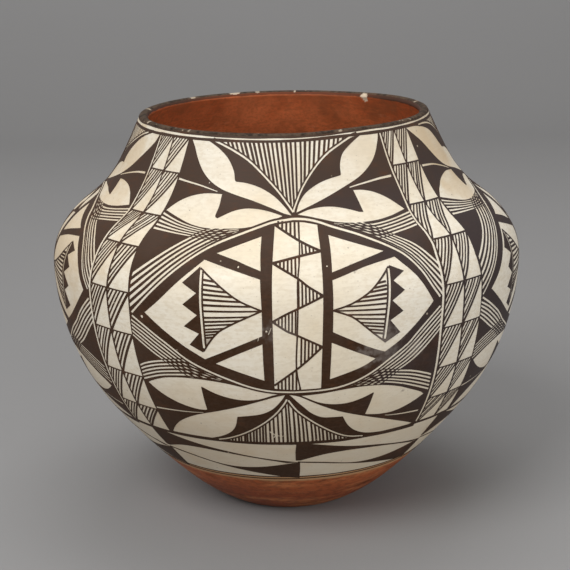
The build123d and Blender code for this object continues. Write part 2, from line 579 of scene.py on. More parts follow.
def angle_on(line, height):
    """The angle where an upright line passes a height."""
    ordered = sorted(line, key=lambda point: point.y)
    return float(np.interp(height, [p.y for p in ordered], [p.x for p in ordered]))


def upright_part(line, low, high, shift=0.0):
    """The part of an upright line between two heights, moved sideways by the shift."""
    count = max(2, round((high - low) / 6))
    heights = [low + (high - low) * step / count for step in range(count + 1)]
    return [Vector((angle_on(line, height) + shift, height)) for height in heights]


# %% Boxes of a band
border_width = 1.7
half_line = 0.45
box_strokes = 5
stroke_end = 1.01
stroke_room = box_strokes + 0.4
stroke_share = 0.48
first_stroke_share = 1.25
side_steps = [step / 4 for step in range(5)]
box_columns = (("column", "divider", 0, -0.25), ("divider", "edge", 0.25, -0.35))


def draw_box(band, column, low, high, hand, place):
    """A white box with slanting strokes that fill the half of it below its diagonal."""
    start, end, start_gap, end_gap = column

    def box_point(across, up):
        """A point of the box by its shares across and up."""
        height = low + (high - low) * up
        left = angle_on(band[start], height) + start_gap
        right = angle_on(band[end], height) + end_gap
        return Vector((left + (right - left) * across, height))

    left_side = [box_point(0, up) for up in side_steps]
    right_side = [box_point(1, up) for up in side_steps]
    add_shape("box", left_side + right_side[::-1], place)
    for number in range(box_strokes + 1):
        rise = (number + hand.uniform(-0.14, 0.14)) / stroke_room if number else 0
        thick = hand.uniform(0.85, 1.15) * stroke_share / stroke_room / 2
        thick = thick * (1 if number else first_stroke_share)
        sides = []
        for lift in (-thick, thick):
            reach = stroke_end - rise - lift
            sides.append([box_point(step, step + rise + lift) for step in (0, reach / 2, reach)])
        add_shape("box stroke", outline(sides[0], sides[1][::-1]), place)


def draw_band(band, place, seed):
    """A band: its dark ground, its white border stripe and its half-hatched boxes."""
    hand = random.Random(seed)
    top, foot_of_band = band["rows"][0], band["rows"][-1]
    left_side = upright_part(band["border"], foot_of_band - 1, top, -0.6)
    right_side = upright_part(band["edge"], foot_of_band - 1, top, 0.3)
    add_shape("ground", outline(left_side, right_side[::-1]), place)
    border = upright_part(band["border"], foot_of_band + 0.6, top - 0.4)
    add_shape("white", stripe(border, border_width), place)
    for high, low in zip(band["rows"], band["rows"][1:]):
        for column in box_columns:
            draw_box(band, column, low + half_line, high - half_line, hand, place)
    print("band", seed, "drawn; shapes so far:", len(drawing))


# %% [markdown]
# A panel is a dark ground with white leaves, stripes and hatched fields left open on it. The
# painter outlines the white shapes and fills the ground between them, and the drawing does the
# same: later shapes cover earlier ones. This cell holds the leaves, above and below the middle.

# %% Leaves
leaves = [
    drawn(
        [(-36.1, 274.9), (-30, 274.9), (-26.7, 272.8), (-23.3, 269.3), (-20.2, 264.8),
            (-17.7, 258.2), (-16.8, 252.6)],
        [(-16.4, 251.9), (-12.7, 251.3), (-8.3, 248.9), (-4, 244.3), (-0.8, 238.5), (1.3, 233.5)],
        [(-0.7, 234.4), (-4.6, 237.5), (-10, 241.2), (-16.7, 244.7), (-20.6, 247), (-25, 251.1),
            (-28.7, 256.6), (-31.8, 263.5), (-34, 270)],
    ),
    drawn(
        [(35.8, 277.8), (34.7, 272.8), (32, 265), (28.5, 258.8), (24, 253.4), (18, 248.2),
            (10, 241.2), (5, 237), (2.7, 235)],
        [(2.9, 236.3), (3.7, 240.5), (5.8, 246), (9.5, 250.7), (13.3, 253.4), (17.6, 255.1)],
        [(17.8, 255.7), (18, 261), (19.3, 266.6), (22.2, 271), (26, 275.2), (29, 278)],
    ),
    drawn(
        [(-37.2, 232), (-35, 236.6), (-32.3, 240.1), (-29, 242.6), (-25, 244.1), (-20.1, 244.2)],
        [(-20.3, 243.6), (-20.3, 237.4), (-20.7, 232), (-19.9, 230.7)],
        [(-18.7, 232), (-16, 234.9), (-12.5, 236.8), (-8.5, 236.8), (-4.5, 235.3), (-1.2, 233.2)],
        [(-2.6, 232), (-6.7, 228.9), (-11.5, 226.4), (-17, 225.5), (-22.5, 225.1), (-27, 226.3),
            (-31.5, 228.7)],
    ),
    drawn(
        [(36.3, 232.3), (33, 238.2), (30, 242), (27, 244.5), (24, 245.8), (21, 246.1)],
        [(21.1, 245.4), (21.9, 239.7), (22.5, 233.5)],
        [(21.3, 233.7), (18, 235.8), (14, 237.5), (10, 237.7), (6, 236.3), (3, 233.9)],
        [(6.3, 232.8), (10, 231), (14.5, 229), (20, 228.2), (26, 228.6), (31, 230)],
    ),
    drawn(
        [(-35.2, 123), (-33.3, 125.7), (-29.5, 129.5), (-24.5, 131.7), (-19, 132),
            (-13.3, 130.6), (-8, 127.3), (-4.4, 125.2), (-2, 124.4)],
        [(-3.3, 123.4), (-6.7, 120), (-10, 118.8), (-13.5, 119.7), (-17, 122.4), (-20.2, 126.6)],
        [(-20.3, 126), (-20.2, 116), (-20, 108.7)],
        [(-20.6, 108.1), (-23.3, 108.2), (-27.5, 110.7), (-31.2, 115), (-33.6, 119.2)],
    ),
    drawn(
        [(36.2, 113), (34.7, 115.7), (31.3, 119.6), (27.5, 123.7), (23, 126.6), (18, 127.5),
            (13, 126.4), (8, 124.4), (3.3, 123.2)],
        [(4.7, 121.4), (7.3, 117.9), (10.5, 115.7), (14.5, 115.6), (18, 118.2), (20.9, 121.8)],
        [(21, 121.2), (20.5, 112.1), (20, 105.2)],
        [(20.4, 104.6), (24, 103.3), (28, 103.5), (31.7, 106.4), (34.4, 109.9)],
    ),
    drawn(
        [(-0.4, 123.9), (-3.3, 121.8), (-10, 115), (-16.7, 108.9), (-23.3, 103.2),
            (-28.6, 96.2), (-32, 89.3), (-34.5, 82.5)],
        [(-21.3, 83.4), (-17.9, 86.7), (-15, 91.3), (-13.3, 97.1), (-12.4, 105)],
        [(-10, 106.1), (-6.4, 108.2), (-3.7, 112), (-1.7, 117.9), (-0.5, 123.2)],
    ),
    drawn(
        [(0.5, 124.1), (3, 122.5), (7, 116.8), (12.5, 110), (19.5, 103.8), (28, 96.8),
            (34.7, 90.7), (37.2, 88.2)],
        [(36.4, 87.4), (31.3, 87.1), (26.5, 86.7), (22, 87.9), (18.6, 91.4), (16, 97.1),
            (14.1, 104.9)],
        [(12, 104.9), (8.7, 105.5), (6, 109.3), (4.3, 113.6), (2.7, 117.9), (1, 122.9)],
    ),
]
small_stripes = [
    (smooth((-37.2, 250.5), (-30, 248.7), (-26, 247.3), (-22, 245.5)), 1.1, 0.5),
    (smooth((20, 247.8), (22.7, 248.8), (26.3, 249.9), (31.3, 251.2), (36.2, 251.8)), 0.6, 1.4),
    (smooth((-35.8, 102.5), (-30, 103.6), (-25, 104.6), (-21.3, 105.7)), 1.3, 0.5),
    (smooth((26, 101.3), (28, 100.6), (31.3, 99.9), (37, 99.1)), 0.5, 1.3),
]
print("leaves in a panel:", len(leaves))

# %% [markdown]
# Fields of fine hatching fill the triangles above and below. A triangle is a white field inside
# a white stripe and a dark line; its strokes run down to a far point and are cut off by the
# field's edge. Each stroke leans and swells a little, from a seeded throw of the dice.

# %% Hatched triangles
upper_sides = (
    smooth((-27, 275.4), (-23, 272.8), (-18.5, 269.5), (-13.3, 264.7), (-8.4, 257.6),
        (-3.3, 248.2), (0, 240.2), (1.8, 235.3)),
    smooth((26.5, 277.6), (23.3, 276.2), (18, 271.8), (13.3, 267), (9, 259.8), (5, 249.5),
        (2.3, 238.2), (1.9, 235.3)),
)
lower_sides = (
    smooth((-19.4, 82.9), (-16, 85.4), (-11.3, 91), (-6.7, 98.9), (-3, 108), (-0.8, 116.3),
        (0, 120.6)),
    smooth((21.6, 85.2), (17, 86.8), (12.8, 91.4), (8, 99.3), (4.7, 106.1), (2.3, 112.1),
        (0.3, 120)),
)


def hatching(starts, focus, reach, width, seed):
    """Strokes from the starts towards a far point, for that share of the way to it."""
    hand = random.Random(seed)
    strokes = []
    for start in starts:
        start = Vector(start) + Vector((hand.uniform(-0.12, 0.12), hand.uniform(-0.2, 0.2)))
        end = start + (Vector(focus) - start) * (reach + hand.uniform(-0.01, 0.01))
        middle = (start + end) / 2 + Vector((hand.uniform(-0.1, 0.1), 0))
        start_width = width * hand.uniform(0.85, 1.15)
        strokes.append(stripe(smooth(start, middle, end), start_width, width * 0.6))
    return strokes


upper_focus = (3.1, 187)
lower_focus = (-3, 240)
upper_starts = [(3.1 - 1.68 * i, 278) for i in range(1, 16)]
upper_starts += [(3.1 + 1.8 * i, 278) for i in range(12)]
lower_starts = [(-13.6 + 0.89 * i, 82) for i in range(-3, 9)]
lower_starts += [(-5.6 + 1.17 * i, 82) for i in range(12)]
lower_starts += [(8.4 + 1.02 * i, 82) for i in range(11)]
upper_hatching = hatching(upper_starts, upper_focus, 0.62, 2.1, 11)
side_hatching = hatching(upper_starts, upper_focus, 0.62, 1.0, 13)
lower_hatching = hatching(lower_starts, lower_focus, 0.3, 1.45, 12)
print("strokes in the triangles:", len(upper_hatching) + len(lower_hatching))

# %% [markdown]
# A long white stripe runs round the medallion, and beside it bundles of fine lines sweep from
# panel edge to panel edge. Where a steep bundle crosses a flat one, only the places that are
# open in both stay white, as in weaving: that is why the lines and their fields carry tags.

# %% Bundles of fine lines
medallion_stripe = [
    smooth((-36.5, 172), (-33, 182.3), (-30, 190.9), (-26, 201.8), (-22, 210.8), (-18, 217.2),
        (-13, 222.4), (-6.7, 227.8), (-3.3, 230.1), (1.7, 231.7)),
    smooth((1.7, 231.7), (5, 231.4), (8.5, 229.9), (12, 227.2), (18, 222.9), (22, 219.1),
        (25, 215.7), (28, 211.3), (30, 206.6), (32, 199.5), (34, 190), (36.1, 182)),
    smooth((-36.5, 170), (-33, 164.2), (-30, 158.9), (-27, 153.6), (-23, 145.7), (-19, 140.2),
        (-13.3, 134), (-8, 128.9), (-3.3, 126.5), (1.7, 126)),
    smooth((1.7, 126), (8, 126.9), (12, 128.5), (16, 132), (20, 137.9), (24, 146), (28, 154.2),
        (30, 160.1), (33, 168.3), (36.2, 176)),
]
bundles = [
    (
        "steep",
        smooth((-36.9, 174.2), (-33, 183.8), (-30, 192.3), (-26, 203.2), (-22, 211.7),
            (-18, 217.8), (-15, 221), (-12.5, 223.6)),
        smooth((-37, 198), (-34, 204.7), (-30, 212.9), (-26.3, 219.1), (-22.5, 224),
            (-19.5, 226.5)),
    ),
    (
        "flat",
        smooth((-37.6, 231.2), (-35, 229.7), (-30, 227), (-24, 225), (-20, 224.6), (-13, 226)),
        smooth((-37.6, 220.8), (-30, 220.2), (-25, 219.8), (-20, 219.3), (-16, 219.4),
            (-12.5, 222.6)),
    ),
    (
        "steep",
        smooth((36.8, 181), (34, 191.4), (32, 201), (30, 207.9), (28, 212.2), (25, 216.5),
            (22, 219.9), (18, 223.6), (13, 227.6)),
        smooth((37.3, 203.6), (35.5, 209.5), (33, 215.4), (29.2, 219.9), (25.5, 224.3), (21, 229)),
    ),
    (
        "flat",
        smooth((37.4, 231.2), (34, 230), (30, 228.6), (24, 227.3), (18, 227.9), (13, 229)),
        smooth((37.4, 222.7), (34, 221.7), (30, 220.7), (24, 219.3), (20, 221.8), (13, 227)),
    ),
    (
        "steep",
        smooth((-36.9, 168.3), (-33, 162.9), (-30, 157.6), (-27, 152.3), (-23, 144.6),
            (-19, 139.2), (-14, 133.6)),
        smooth((-36.8, 155.3), (-33, 148.2), (-30.2, 143.4), (-26, 137.5), (-23, 132.5)),
    ),
    (
        "flat",
        smooth((-36.3, 136.3), (-34.5, 138.9), (-31, 142), (-26, 144.8), (-22.5, 145.4),
            (-17, 138)),
        smooth((-36.3, 123.8), (-33, 127.3), (-30, 130), (-24, 132.8), (-20, 133.1), (-15, 132.5)),
    ),
    (
        "steep",
        smooth((36.9, 176), (33, 166.9), (30, 158.7), (26, 148.4), (22, 140.7), (18, 133.6),
            (14, 129)),
        smooth((36.8, 159.4), (33, 148.3), (30, 141.2), (27, 136.4), (25.3, 133), (22.5, 127.5)),
    ),
    (
        "flat",
        smooth((36.6, 129), (34, 131.9), (30, 135.4), (26, 137.1), (22, 138.6), (18, 134.5),
            (14.5, 130.3)),
        smooth((37.4, 114.8), (32, 120.7), (28, 124.7), (24, 127.5), (20, 128.9), (15, 129)),
    ),
]
bundle_lines = 5
print("bundles in a panel:", len(bundles))

# %% [markdown]
# The medallion in the middle of a panel is an oval of white fields between heavy dark bars. On
# each side stands a fan: a hatched triangle with a white stem line and a row of dark teeth. A
# strip down the middle holds a zigzag whose corners are hatched.

# %% White fields of the medallion
medallion_fields = [
    drawn(
        [(-32.8, 173.8), (-28.8, 183.8), (-24.2, 196.8), (-19.3, 209.2)],
        [(-19.3, 209.2), (-12, 204.5), (-5.8, 200)],
        [(-5.8, 200), (-5.3, 182), (-5.2, 165.5)],
        [(-5.2, 165.5), (-11.3, 157), (-18.3, 147.2)],
        [(-18.3, 147.2), (-23.3, 155), (-28.3, 164.5)],
    ),
    drawn(
        [(-16.8, 213), (-11.7, 218), (-6.5, 222.4)],
        [(-6.2, 213), (-5.8, 204.6)],
        [(-5.8, 204.6), (-11.7, 209.8)],
    ),
    drawn(
        [(-15.9, 144.8), (-10.5, 152.8), (-5.2, 160)],
        [(-5.1, 147), (-5, 134.4)],
        [(-10.5, 139.6), (-15.9, 144.8)],
    ),
    drawn(
        [(10.1, 199.2), (18, 205.5), (26, 209.2)],
        [(26, 209.2), (30.4, 197), (34.2, 180.2)],
        [(34.2, 180.2), (30, 168), (26, 158), (22.3, 151)],
        [(22.3, 151), (18, 156), (10, 167.5)],
        [(10, 167.5), (10, 183)],
    ),
    drawn(
        [(10.8, 222.8), (17.3, 218), (23.7, 212.8)],
        [(23.7, 212.8), (16.7, 208.5), (10.2, 203.5)],
    ),
    drawn([(9.8, 160.5), (15, 153.5), (20.2, 147)], [(20.2, 147), (16.7, 141.5), (9.8, 134.8)]),
]

# %% Fans with teeth
left_fan_sides = (
    smooth((-19.7, 204.5), (-16.7, 199), (-13.3, 192.5), (-10, 187), (-5.3, 181.8)),
    smooth((-5.3, 181.8), (-8.7, 177), (-11.7, 172.5), (-14.7, 167), (-16.7, 160.5),
        (-18.5, 152.6)),
)
right_fan_sides = (
    smooth((10, 181.5), (14, 184.8), (18, 190.5), (20.7, 196.6), (23.7, 204.3)),
    smooth((22.2, 157.8), (19.3, 164.5), (16.7, 171), (14, 177), (10, 181.5)),
)
fans = [
    {
        "field": outline(*left_fan_sides),
        "sides": left_fan_sides,
        "stem": smooth((-19.5, 203.6), (-19.1, 195), (-18.6, 175), (-18.3, 155)),
        "teeth": [(-19.9, 205.3), (-23.5, 195.4), (-19.9, 190.2), (-23, 182.7), (-19.6, 176.7),
            (-22.8, 168.5), (-19.3, 164.5), (-21.7, 156.3), (-18.6, 151.9), (-17.9, 160),
            (-18.2, 175), (-18.7, 195)],
        "stroke_heights": (161.4, 163.4, 165.5, 167.5, 170, 172.7, 175.4, 179.5, 183.3, 186.6,
            189.8, 192.8, 195.5, 198.2),
        "stroke_start": -18.7,
        "focus": (30, 187),
    },
    {
        "field": outline(
            right_fan_sides[0],
            smooth((22.2, 157.8), (19.3, 164.5), (16.7, 171), (14, 177)),
        ),
        "sides": right_fan_sides,
        "stem": smooth((23.6, 203.3), (23, 191), (22.4, 175), (22, 160)),
        "teeth": [(24, 205), (27.3, 201), (24.2, 196.2), (26.7, 190), (23.5, 184.6),
            (26.2, 177.2), (23.1, 172), (25.7, 163.2), (22.1, 157.2), (21.4, 160), (21.8, 175),
            (22.5, 191), (23.1, 203)],
        "stroke_heights": (163.1, 165.3, 167.8, 170.1, 173.1, 176.4, 179.9, 183.1, 186.3, 188.9,
            191.8, 194.2, 196.3),
        "stroke_start": 22.4,
        "focus": (-12, 184),
    },
]

# %% The strip down the middle
corner_strokes = 8
strip_edges = drawn(
    [(-3.3, 228.6), (-3.2, 200), (-3, 176), (-2.8, 146), (-2.8, 128.6)],
    [(1.7, 127.7), (7.9, 128.4)],
    [(7.8, 146), (7.8, 176), (8, 206), (8.3, 228.3)],
    [(4.6, 229.8), (1.7, 230.3)],
)
middle_line = smooth((3.3, 230), (3, 212), (2.4, 198), (2.4, 184), (2.3, 166), (2.2, 143),
    (3.2, 127.5))
zigzag = [
    smooth((-3.3, 228.5), (3, 220.5), (8.2, 215)),
    smooth((8.2, 215), (3, 212.6), (-3.2, 209)),
    smooth((-3.2, 209), (2.3, 201), (4.7, 196), (8, 190.5)),
    smooth((8, 190.5), (3, 184), (0, 180), (-3, 175)),
    smooth((-3, 175), (0, 169), (2.3, 166), (7.8, 158)),
    smooth((7.8, 158), (4.7, 149), (2.3, 142.7), (0, 137.4), (-2.8, 131)),
]
hatched_corners = [
    ([(-3.3, 230.5), (3.3, 230.5), (3, 220.5), (-3.3, 228.5)], -2.4, 1.12),
    ([(-3.2, 209), (3, 212.6), (2.3, 201)], -2.4, 0.88),
    ([(-3, 175), (0, 180), (2.4, 183), (2.3, 166), (0, 169)], -2.4, 0.72),
    ([(-2.8, 131), (0, 137.4), (2.3, 142.7), (3.2, 127), (-2.8, 127)], -1.9, 0.82),
    ([(3, 220.5), (8.2, 215), (3, 212.6)], 3.7, 0.9),
    ([(2.3, 201), (4.7, 196), (8, 190.5), (2.4, 183.3)], 2.6, 0.78),
    ([(2.3, 166), (7.8, 158), (4.7, 149), (2.3, 142.7)], 3.2, 0.8),
]
print("medallion:", len(medallion_fields), "fields,", len(fans), "fans and a strip")


# %% Painting a panel
medallion_widths = (3.4, 1.3)
triangle_widths = (3.2, 1.15)
fan_reach = 0.4
fan_stroke_width = 1.4
fan_side_width = 1.1
stem_widths = (3.4, 1.3)
corner_stroke_share = 0.5
zigzag_width = 1.3
middle_width = 0.9


def add_lined(line, widths, place):
    """A white line that runs inside a dark one."""
    add_shape("dark line", stripe(line, widths[0]), place)
    add_shape("white line", stripe(line, widths[1]), place)


def draw_fan(fan, place, seed):
    """A fan: its hatched field, its dark outline and teeth, and its stem."""
    add_shape("hatched field", fan["field"], place)
    starts = [(fan["stroke_start"], height) for height in fan["stroke_heights"]]
    for stroke in hatching(starts, fan["focus"], fan_reach, fan_stroke_width, seed):
        add_shape("field stroke", stroke, place)
    for side in fan["sides"]:
        add_shape("over line", stripe(side, fan_side_width), place)
    add_shape("over line", fan["teeth"], place)
    add_shape("over line", stripe(fan["stem"], stem_widths[0]), place)
    add_shape("top white", stripe(fan["stem"], stem_widths[1]), place)


def draw_strip(place):
    """The strip down the middle: its ground, its hatched corners and its zigzag."""
    add_shape("white", strip_edges, place)
    for number, (corner, first, gap) in enumerate(hatched_corners):
        tag = "corner " + str(number)
        add_shape(tag, corner, place)
        low, high = min(p[1] for p in corner), max(p[1] for p in corner)
        for step in range(corner_strokes):
            across = first + gap * step
            upright = smooth((across, low - 1), (across, high + 1))
            width = corner_stroke_share * gap * degree_length
            add_shape(tag + " stroke", stripe(upright, width), place)
    for line in zigzag:
        add_shape("over line", stripe(line, zigzag_width), place)
    add_shape("over line", stripe(middle_line, middle_width), place)


def draw_panel(place, seed, upper_strokes, own):
    """All shapes of a panel, in the order in which they are painted; own parts replace others."""
    left_side = upright_part(left_band["edge"], 80.5, 275.6)
    right_side = upright_part(right_band["border"], 84, 277.8)
    add_shape("ground", outline(left_side, right_side[::-1]), place)
    for number, leaf in enumerate(leaves):
        add_shape("white", own.get("leaf " + str(number), leaf), place)
    for number, small_stripe in enumerate(small_stripes):
        line, start, end = own.get("stripe " + str(number), small_stripe)
        add_shape("white", stripe(line, start, end), place)
    for kind, first, last in bundles:
        add_shape(kind + " field", outline(first, last[::-1]), place)
        for line in lines_between(first, last, bundle_lines):
            add_shape(kind + " line", line, place)
    for field in medallion_fields:
        add_shape("white", field, place)
    for line in medallion_stripe:
        add_lined(line, medallion_widths, place)
    upper = own.get("upper sides", upper_sides)
    for (left, right), strokes in ((upper, upper_strokes), (lower_sides, lower_hatching)):
        add_shape("hatched field", outline(left, right[::-1]), place)
        add_lined(left, triangle_widths, place)
        add_lined(right, triangle_widths, place)
        for stroke in strokes:
            add_shape("field stroke", stroke, place)
    for fan in fans:
        draw_fan(fan, place, seed)
    draw_strip(place)


print("painter's order: ground, leaves, bundles, medallion, triangles, fans, strip")

# %% [markdown]
# The four panels and four bands go round the jar. The front one is as it was read. The others
# are the same drawing stretched between their own bands: each point keeps its share of the way
# from edge to edge, and a slow wave moves it a little, as another hour's painting would. Parts
# that the right and left panels show, and that were painted otherwise, are drawn on their own.
# The wave comes from noise that would start from the clock, so it is given a seed first.

# %% Where each panel and band goes
base_line = smooth((-180, 83.5), (-120, 83.3), (-90, 83), (-60, 82.3), (-45, 82.1), (-20, 82.7),
    (0, 82.6), (20, 83.3), (33, 85.1), (45, 85.2), (60, 84.7), (90, 84), (130, 83.6),
    (180, 83.5))


def base_level(angle):
    """Height of the line under the panels at an angle."""
    wrapped = (angle + 180) % 360 - 180
    return float(np.interp(wrapped, [p.x for p in base_line], [p.y for p in base_line]))


def straight_line(line):
    """An upright line of a band, straightened."""
    return [straightened(point) for point in line]


right_start = straight_line(right_band["border"])
right_end = straight_line(right_band["edge"])
left_start = straight_line(left_band["border"])
left_end = straight_line(left_band["edge"])
settle_from = 150
settle_room = 65
band_wave = 0.9
panel_wave = 2.2
wave_seed = 7
noise.seed_set(wave_seed)


def settle(height, start_angle, end_angle):
    """A height moved with the base line, the more the lower it is."""
    share = max(0.0, min(1.0, (settle_from - height) / settle_room))
    return height + (base_level(end_angle) - base_level(start_angle)) * share


def by_turning(turn, seed):
    """A placer for a band that is turned round the jar by an angle."""

    def place(point):
        start = straightened(point)
        wave = noise.noise_vector(Vector((start.x / 26, start.y / 60, seed))) * band_wave
        height = settle(start.y, start.x, start.x + turn)
        return Vector((start.x + turn + wave.x * 0.6, height + wave.y))

    return place


def by_stretching(left_edge, left_turn, right_edge, right_turn, seed):
    """A placer for a panel that is stretched between two edges."""

    def place(point):
        start = straightened(point)
        first = angle_on(left_end, start.y)
        last = angle_on(right_start, start.y)
        share = (start.x - first) / (last - first)
        new_first = angle_on(left_edge, start.y) + left_turn
        new_last = angle_on(right_edge, start.y) + right_turn
        angle = new_first + (new_last - new_first) * share
        room = max(0.0, 4 * share * (1 - share))
        wave_place = Vector((share * 2.2, start.y / 75, seed + 0.5))
        wave = noise.noise_vector(wave_place) * panel_wave
        height = settle(start.y, start.x, angle)
        return Vector((angle + wave.x * room, height + wave.y * room))

    return place


right_panel_own = {
    "leaf 0": drawn(
        [(-37.6, 274.7), (-33, 274.8), (-29, 274.1), (-24.3, 272.1), (-20.3, 268.9),
            (-17.8, 264.7), (-16.2, 260.8), (-14.4, 256.8)],
        [(-13.8, 256.3), (-10, 255.2), (-5, 251.5), (-1, 244.5), (1.3, 236.5)],
        [(-0.7, 235), (-5, 237.5), (-12.3, 241.9), (-18.4, 245), (-22.2, 248.2), (-24.9, 252.1),
            (-27.7, 257.7), (-31, 264.7), (-34.9, 270.6)],
    ),
    "leaf 2": drawn(
        [(-37.2, 232), (-35, 236), (-33.1, 238.2), (-31.2, 240.5), (-27.7, 242.8), (-23.2, 244),
            (-17.9, 243)],
        [(-17.7, 242.6), (-16.4, 237), (-14.8, 231)],
        [(-14, 231.2), (-11, 234), (-8, 235.5), (-4.5, 235), (-1.2, 233.2)],
        [(-2.6, 232), (-6.7, 228.9), (-11.5, 226.4), (-17, 225.5), (-22.5, 225.1), (-27, 226.3),
            (-31.5, 228.7)],
    ),
    "stripe 0": (
        smooth((-37.1, 251.6), (-34, 251.3), (-29.9, 250.5), (-25.7, 248.5), (-21.9, 246.3),
            (-19.2, 244.4)),
        1.3,
        0.6,
    ),
    "upper sides": (
        smooth((-28.3, 275.1), (-25.5, 275), (-21.9, 274.5), (-18.3, 273.3), (-15.3, 271.4),
            (-10, 266), (-5, 257), (-1, 246), (1.8, 235.3)),
        upper_sides[1],
    ),
}
left_panel_own = {
    "leaf 1": drawn(
        [(35.8, 277.4), (34.4, 271.3), (32, 266.2), (28.3, 259.5), (24.4, 252.8), (19.1, 246.5),
            (11.9, 240.8), (5, 236.3), (2.7, 235)],
        [(2.9, 236.3), (4.5, 243), (8.5, 249.3), (12.6, 252.1), (15, 252.6)],
        [(15.3, 252.9), (14.7, 255.9), (16, 261.4), (19.9, 267.6), (24.8, 272.7), (31.1, 276.4),
            (33, 277.1)],
    ),
    "leaf 3": drawn(
        [(36.3, 232.3), (34.3, 237.2), (32.2, 240.3), (29.3, 242.8), (25.1, 244), (21.6, 243.8)],
        [(21.4, 243.3), (21.4, 238), (21.2, 233.2)],
        [(20.3, 233.4), (17.2, 234.3), (14.5, 235.2), (11.2, 235.2), (6.5, 235), (2.5, 232.9)],
        [(6.3, 231.8), (10, 230), (14.5, 228.5), (20, 228.2), (26, 228.6), (31, 230)],
    ),
    "stripe 1": (
        smooth((19.1, 245.5), (23.4, 248), (28, 250.1), (32.1, 251.5), (36, 252.1)),
        0.6,
        1.4,
    ),
    "upper sides": (
        upper_sides[0],
        smooth((27.2, 275.8), (24, 274.3), (21, 272.2), (14.6, 266.6), (10.4, 262), (6, 252),
            (2.5, 239), (1.9, 235.3)),
    ),
}

draw_panel(straightened, 1, upper_hatching, {})
right_place = by_stretching(right_end, 0, right_start, 90, 2)
draw_panel(right_place, 2, side_hatching, right_panel_own)
left_place = by_stretching(right_end, -180, left_start, 0, 4)
draw_panel(left_place, 4, side_hatching, left_panel_own)
for turn in (0, -360):
    back_place = by_stretching(right_end, 90 + turn, right_start, 180 + turn, 3)
    draw_panel(back_place, 3, upper_hatching, {})
draw_band(left_band, straightened, 21)
draw_band(right_band, straightened, 22)
for turn, seed in ((90, 23), (-180, 24), (180, 24)):
    draw_band(right_band, by_turning(turn, seed), seed)
print("shapes in the drawing:", len(drawing))

# %% [markdown]
# Under the panels runs a border of long leaves, each between a dark corner above and a dark
# corner below. It goes round the jar eight times. The two cells at the front have the widths
# that were read there, and the other six share what is left.

# %% Border of long leaves
upper_corner = drawn(
    [(2.8, 82.6), (7.1, 81.9), (14.3, 78.4), (20, 75.9), (28.6, 73.2), (35.7, 70.4),
        (42.9, 67.5), (49.6, 65)],
    [(46.4, 64.3), (41.4, 66.8), (35.7, 69.3), (30, 71.1), (24, 72.1), (18.6, 72.3),
        (12.9, 71.1), (8.6, 68.6), (4.6, 65.3)],
    [(3.1, 65.4), (2.8, 74)],
)
lower_corner = drawn(
    [(3.8, 64.2), (9.3, 63), (14.3, 61.4), (20, 58.9), (24.3, 57.6), (29.3, 57.2), (34.3, 58),
        (39.3, 59.7), (44.3, 62.1), (50.6, 65.2)],
    [(50.9, 56), (51, 47.2)],
    [(45, 48.8), (39.3, 51.2), (32.1, 53.7), (25, 56.2), (17.9, 59), (10.7, 61.6), (3.8, 63.2)],
)
border_middle = 65
border_top_room = 17
border_wave = 1.4
cell_start = straightened((3.4, border_middle)).x
cell_end = straightened((49.8, border_middle)).x
first_start = straightened((-43.2, border_middle)).x
rest_width = (360 - (cell_end - first_start)) / 6
cells = [(first_start, cell_start), (cell_start, cell_end)]
cells += [(cell_end + rest_width * i, cell_end + rest_width * (i + 1)) for i in range(6)]


def into_cell(start, end, seed):
    """A placer that stretches the border's cell between two angles."""

    def place(point):
        seen = straightened(point)
        share = (seen.x - cell_start) / (cell_end - cell_start)
        wave = noise.noise_vector(Vector((share * 1.6, seen.y / 45, seed))) * border_wave
        angle = start + (end - start) * share
        rise = base_level(angle) - base_level(seen.x)
        top = max(0.0, min(1.0, (seen.y - border_middle) / border_top_room))
        return Vector((angle + wave.x * 0.4, seen.y + wave.y * 0.5 + rise * top))

    return place


for number, (start, end) in enumerate(cells):
    for turn in (0, -360) if end > 180 else (0,):
        place = into_cell(start + turn, end + turn, 30 + number)
        add_shape("border", upper_corner, place)
        add_shape("border", lower_corner, place)
print("border cells:", len(cells))


# %% Rings
ring_steps = 180


def as_given(point):
    """Leaves a point of a ring where it is."""
    return Vector(point)


def ring(height_line, width, seed):
    """A line right round the jar that swells and thins a little."""
    top, bottom = [], []
    for step in range(ring_steps + 1):
        angle = -180 + 360 // ring_steps * step
        turn = radians(angle)
        sway = noise.noise(Vector((2.2 * cos(turn), 2.2 * sin(turn), seed)))
        swell = noise.noise(Vector((6 * cos(turn), 6 * sin(turn), seed + 7)))
        height = height_line(angle) + 0.45 * sway
        half_width = width / 2 * (1 + 0.35 * swell)
        top.append((angle, height + half_width))
        bottom.append((angle, height - half_width))
    add_shape("ring", top + bottom[::-1], as_given)


ring(base_level, 1.7, 1)
ring(lambda angle: 276.5 + 0.6 * sin(radians(angle)), 1.7, 2)
ring(lambda angle: 279.95 - 0.8 * max(0.0, cos(radians(angle + 18))) ** 4, 2.2, 5)
ring(lambda angle: 47.2, 0.85, 3)
ring(lambda angle: 44.9, 0.85, 4)
print("rings: under the panels, two under the lip and two fine ones above the underbody")

# %% [markdown]
# Years of use have taken bits of the paint away. The knocks that show at the front are drawn as
# small bare shapes, and more of them are thrown over the rest of the jar, few and far between.

# %% Bare spots and scratches
spot_corners = 8
thrown_spots = 60


def ragged_spot(angle, height, reach, seed):
    """A small uneven round."""
    hand = random.Random(seed)
    rim = []
    for step in range(spot_corners):
        far = reach * hand.uniform(0.65, 1.25)
        turn = 2 * pi * step / spot_corners
        rim.append(Vector((angle + far * cos(turn) / degree_length, height + far * sin(turn))))
    return rim


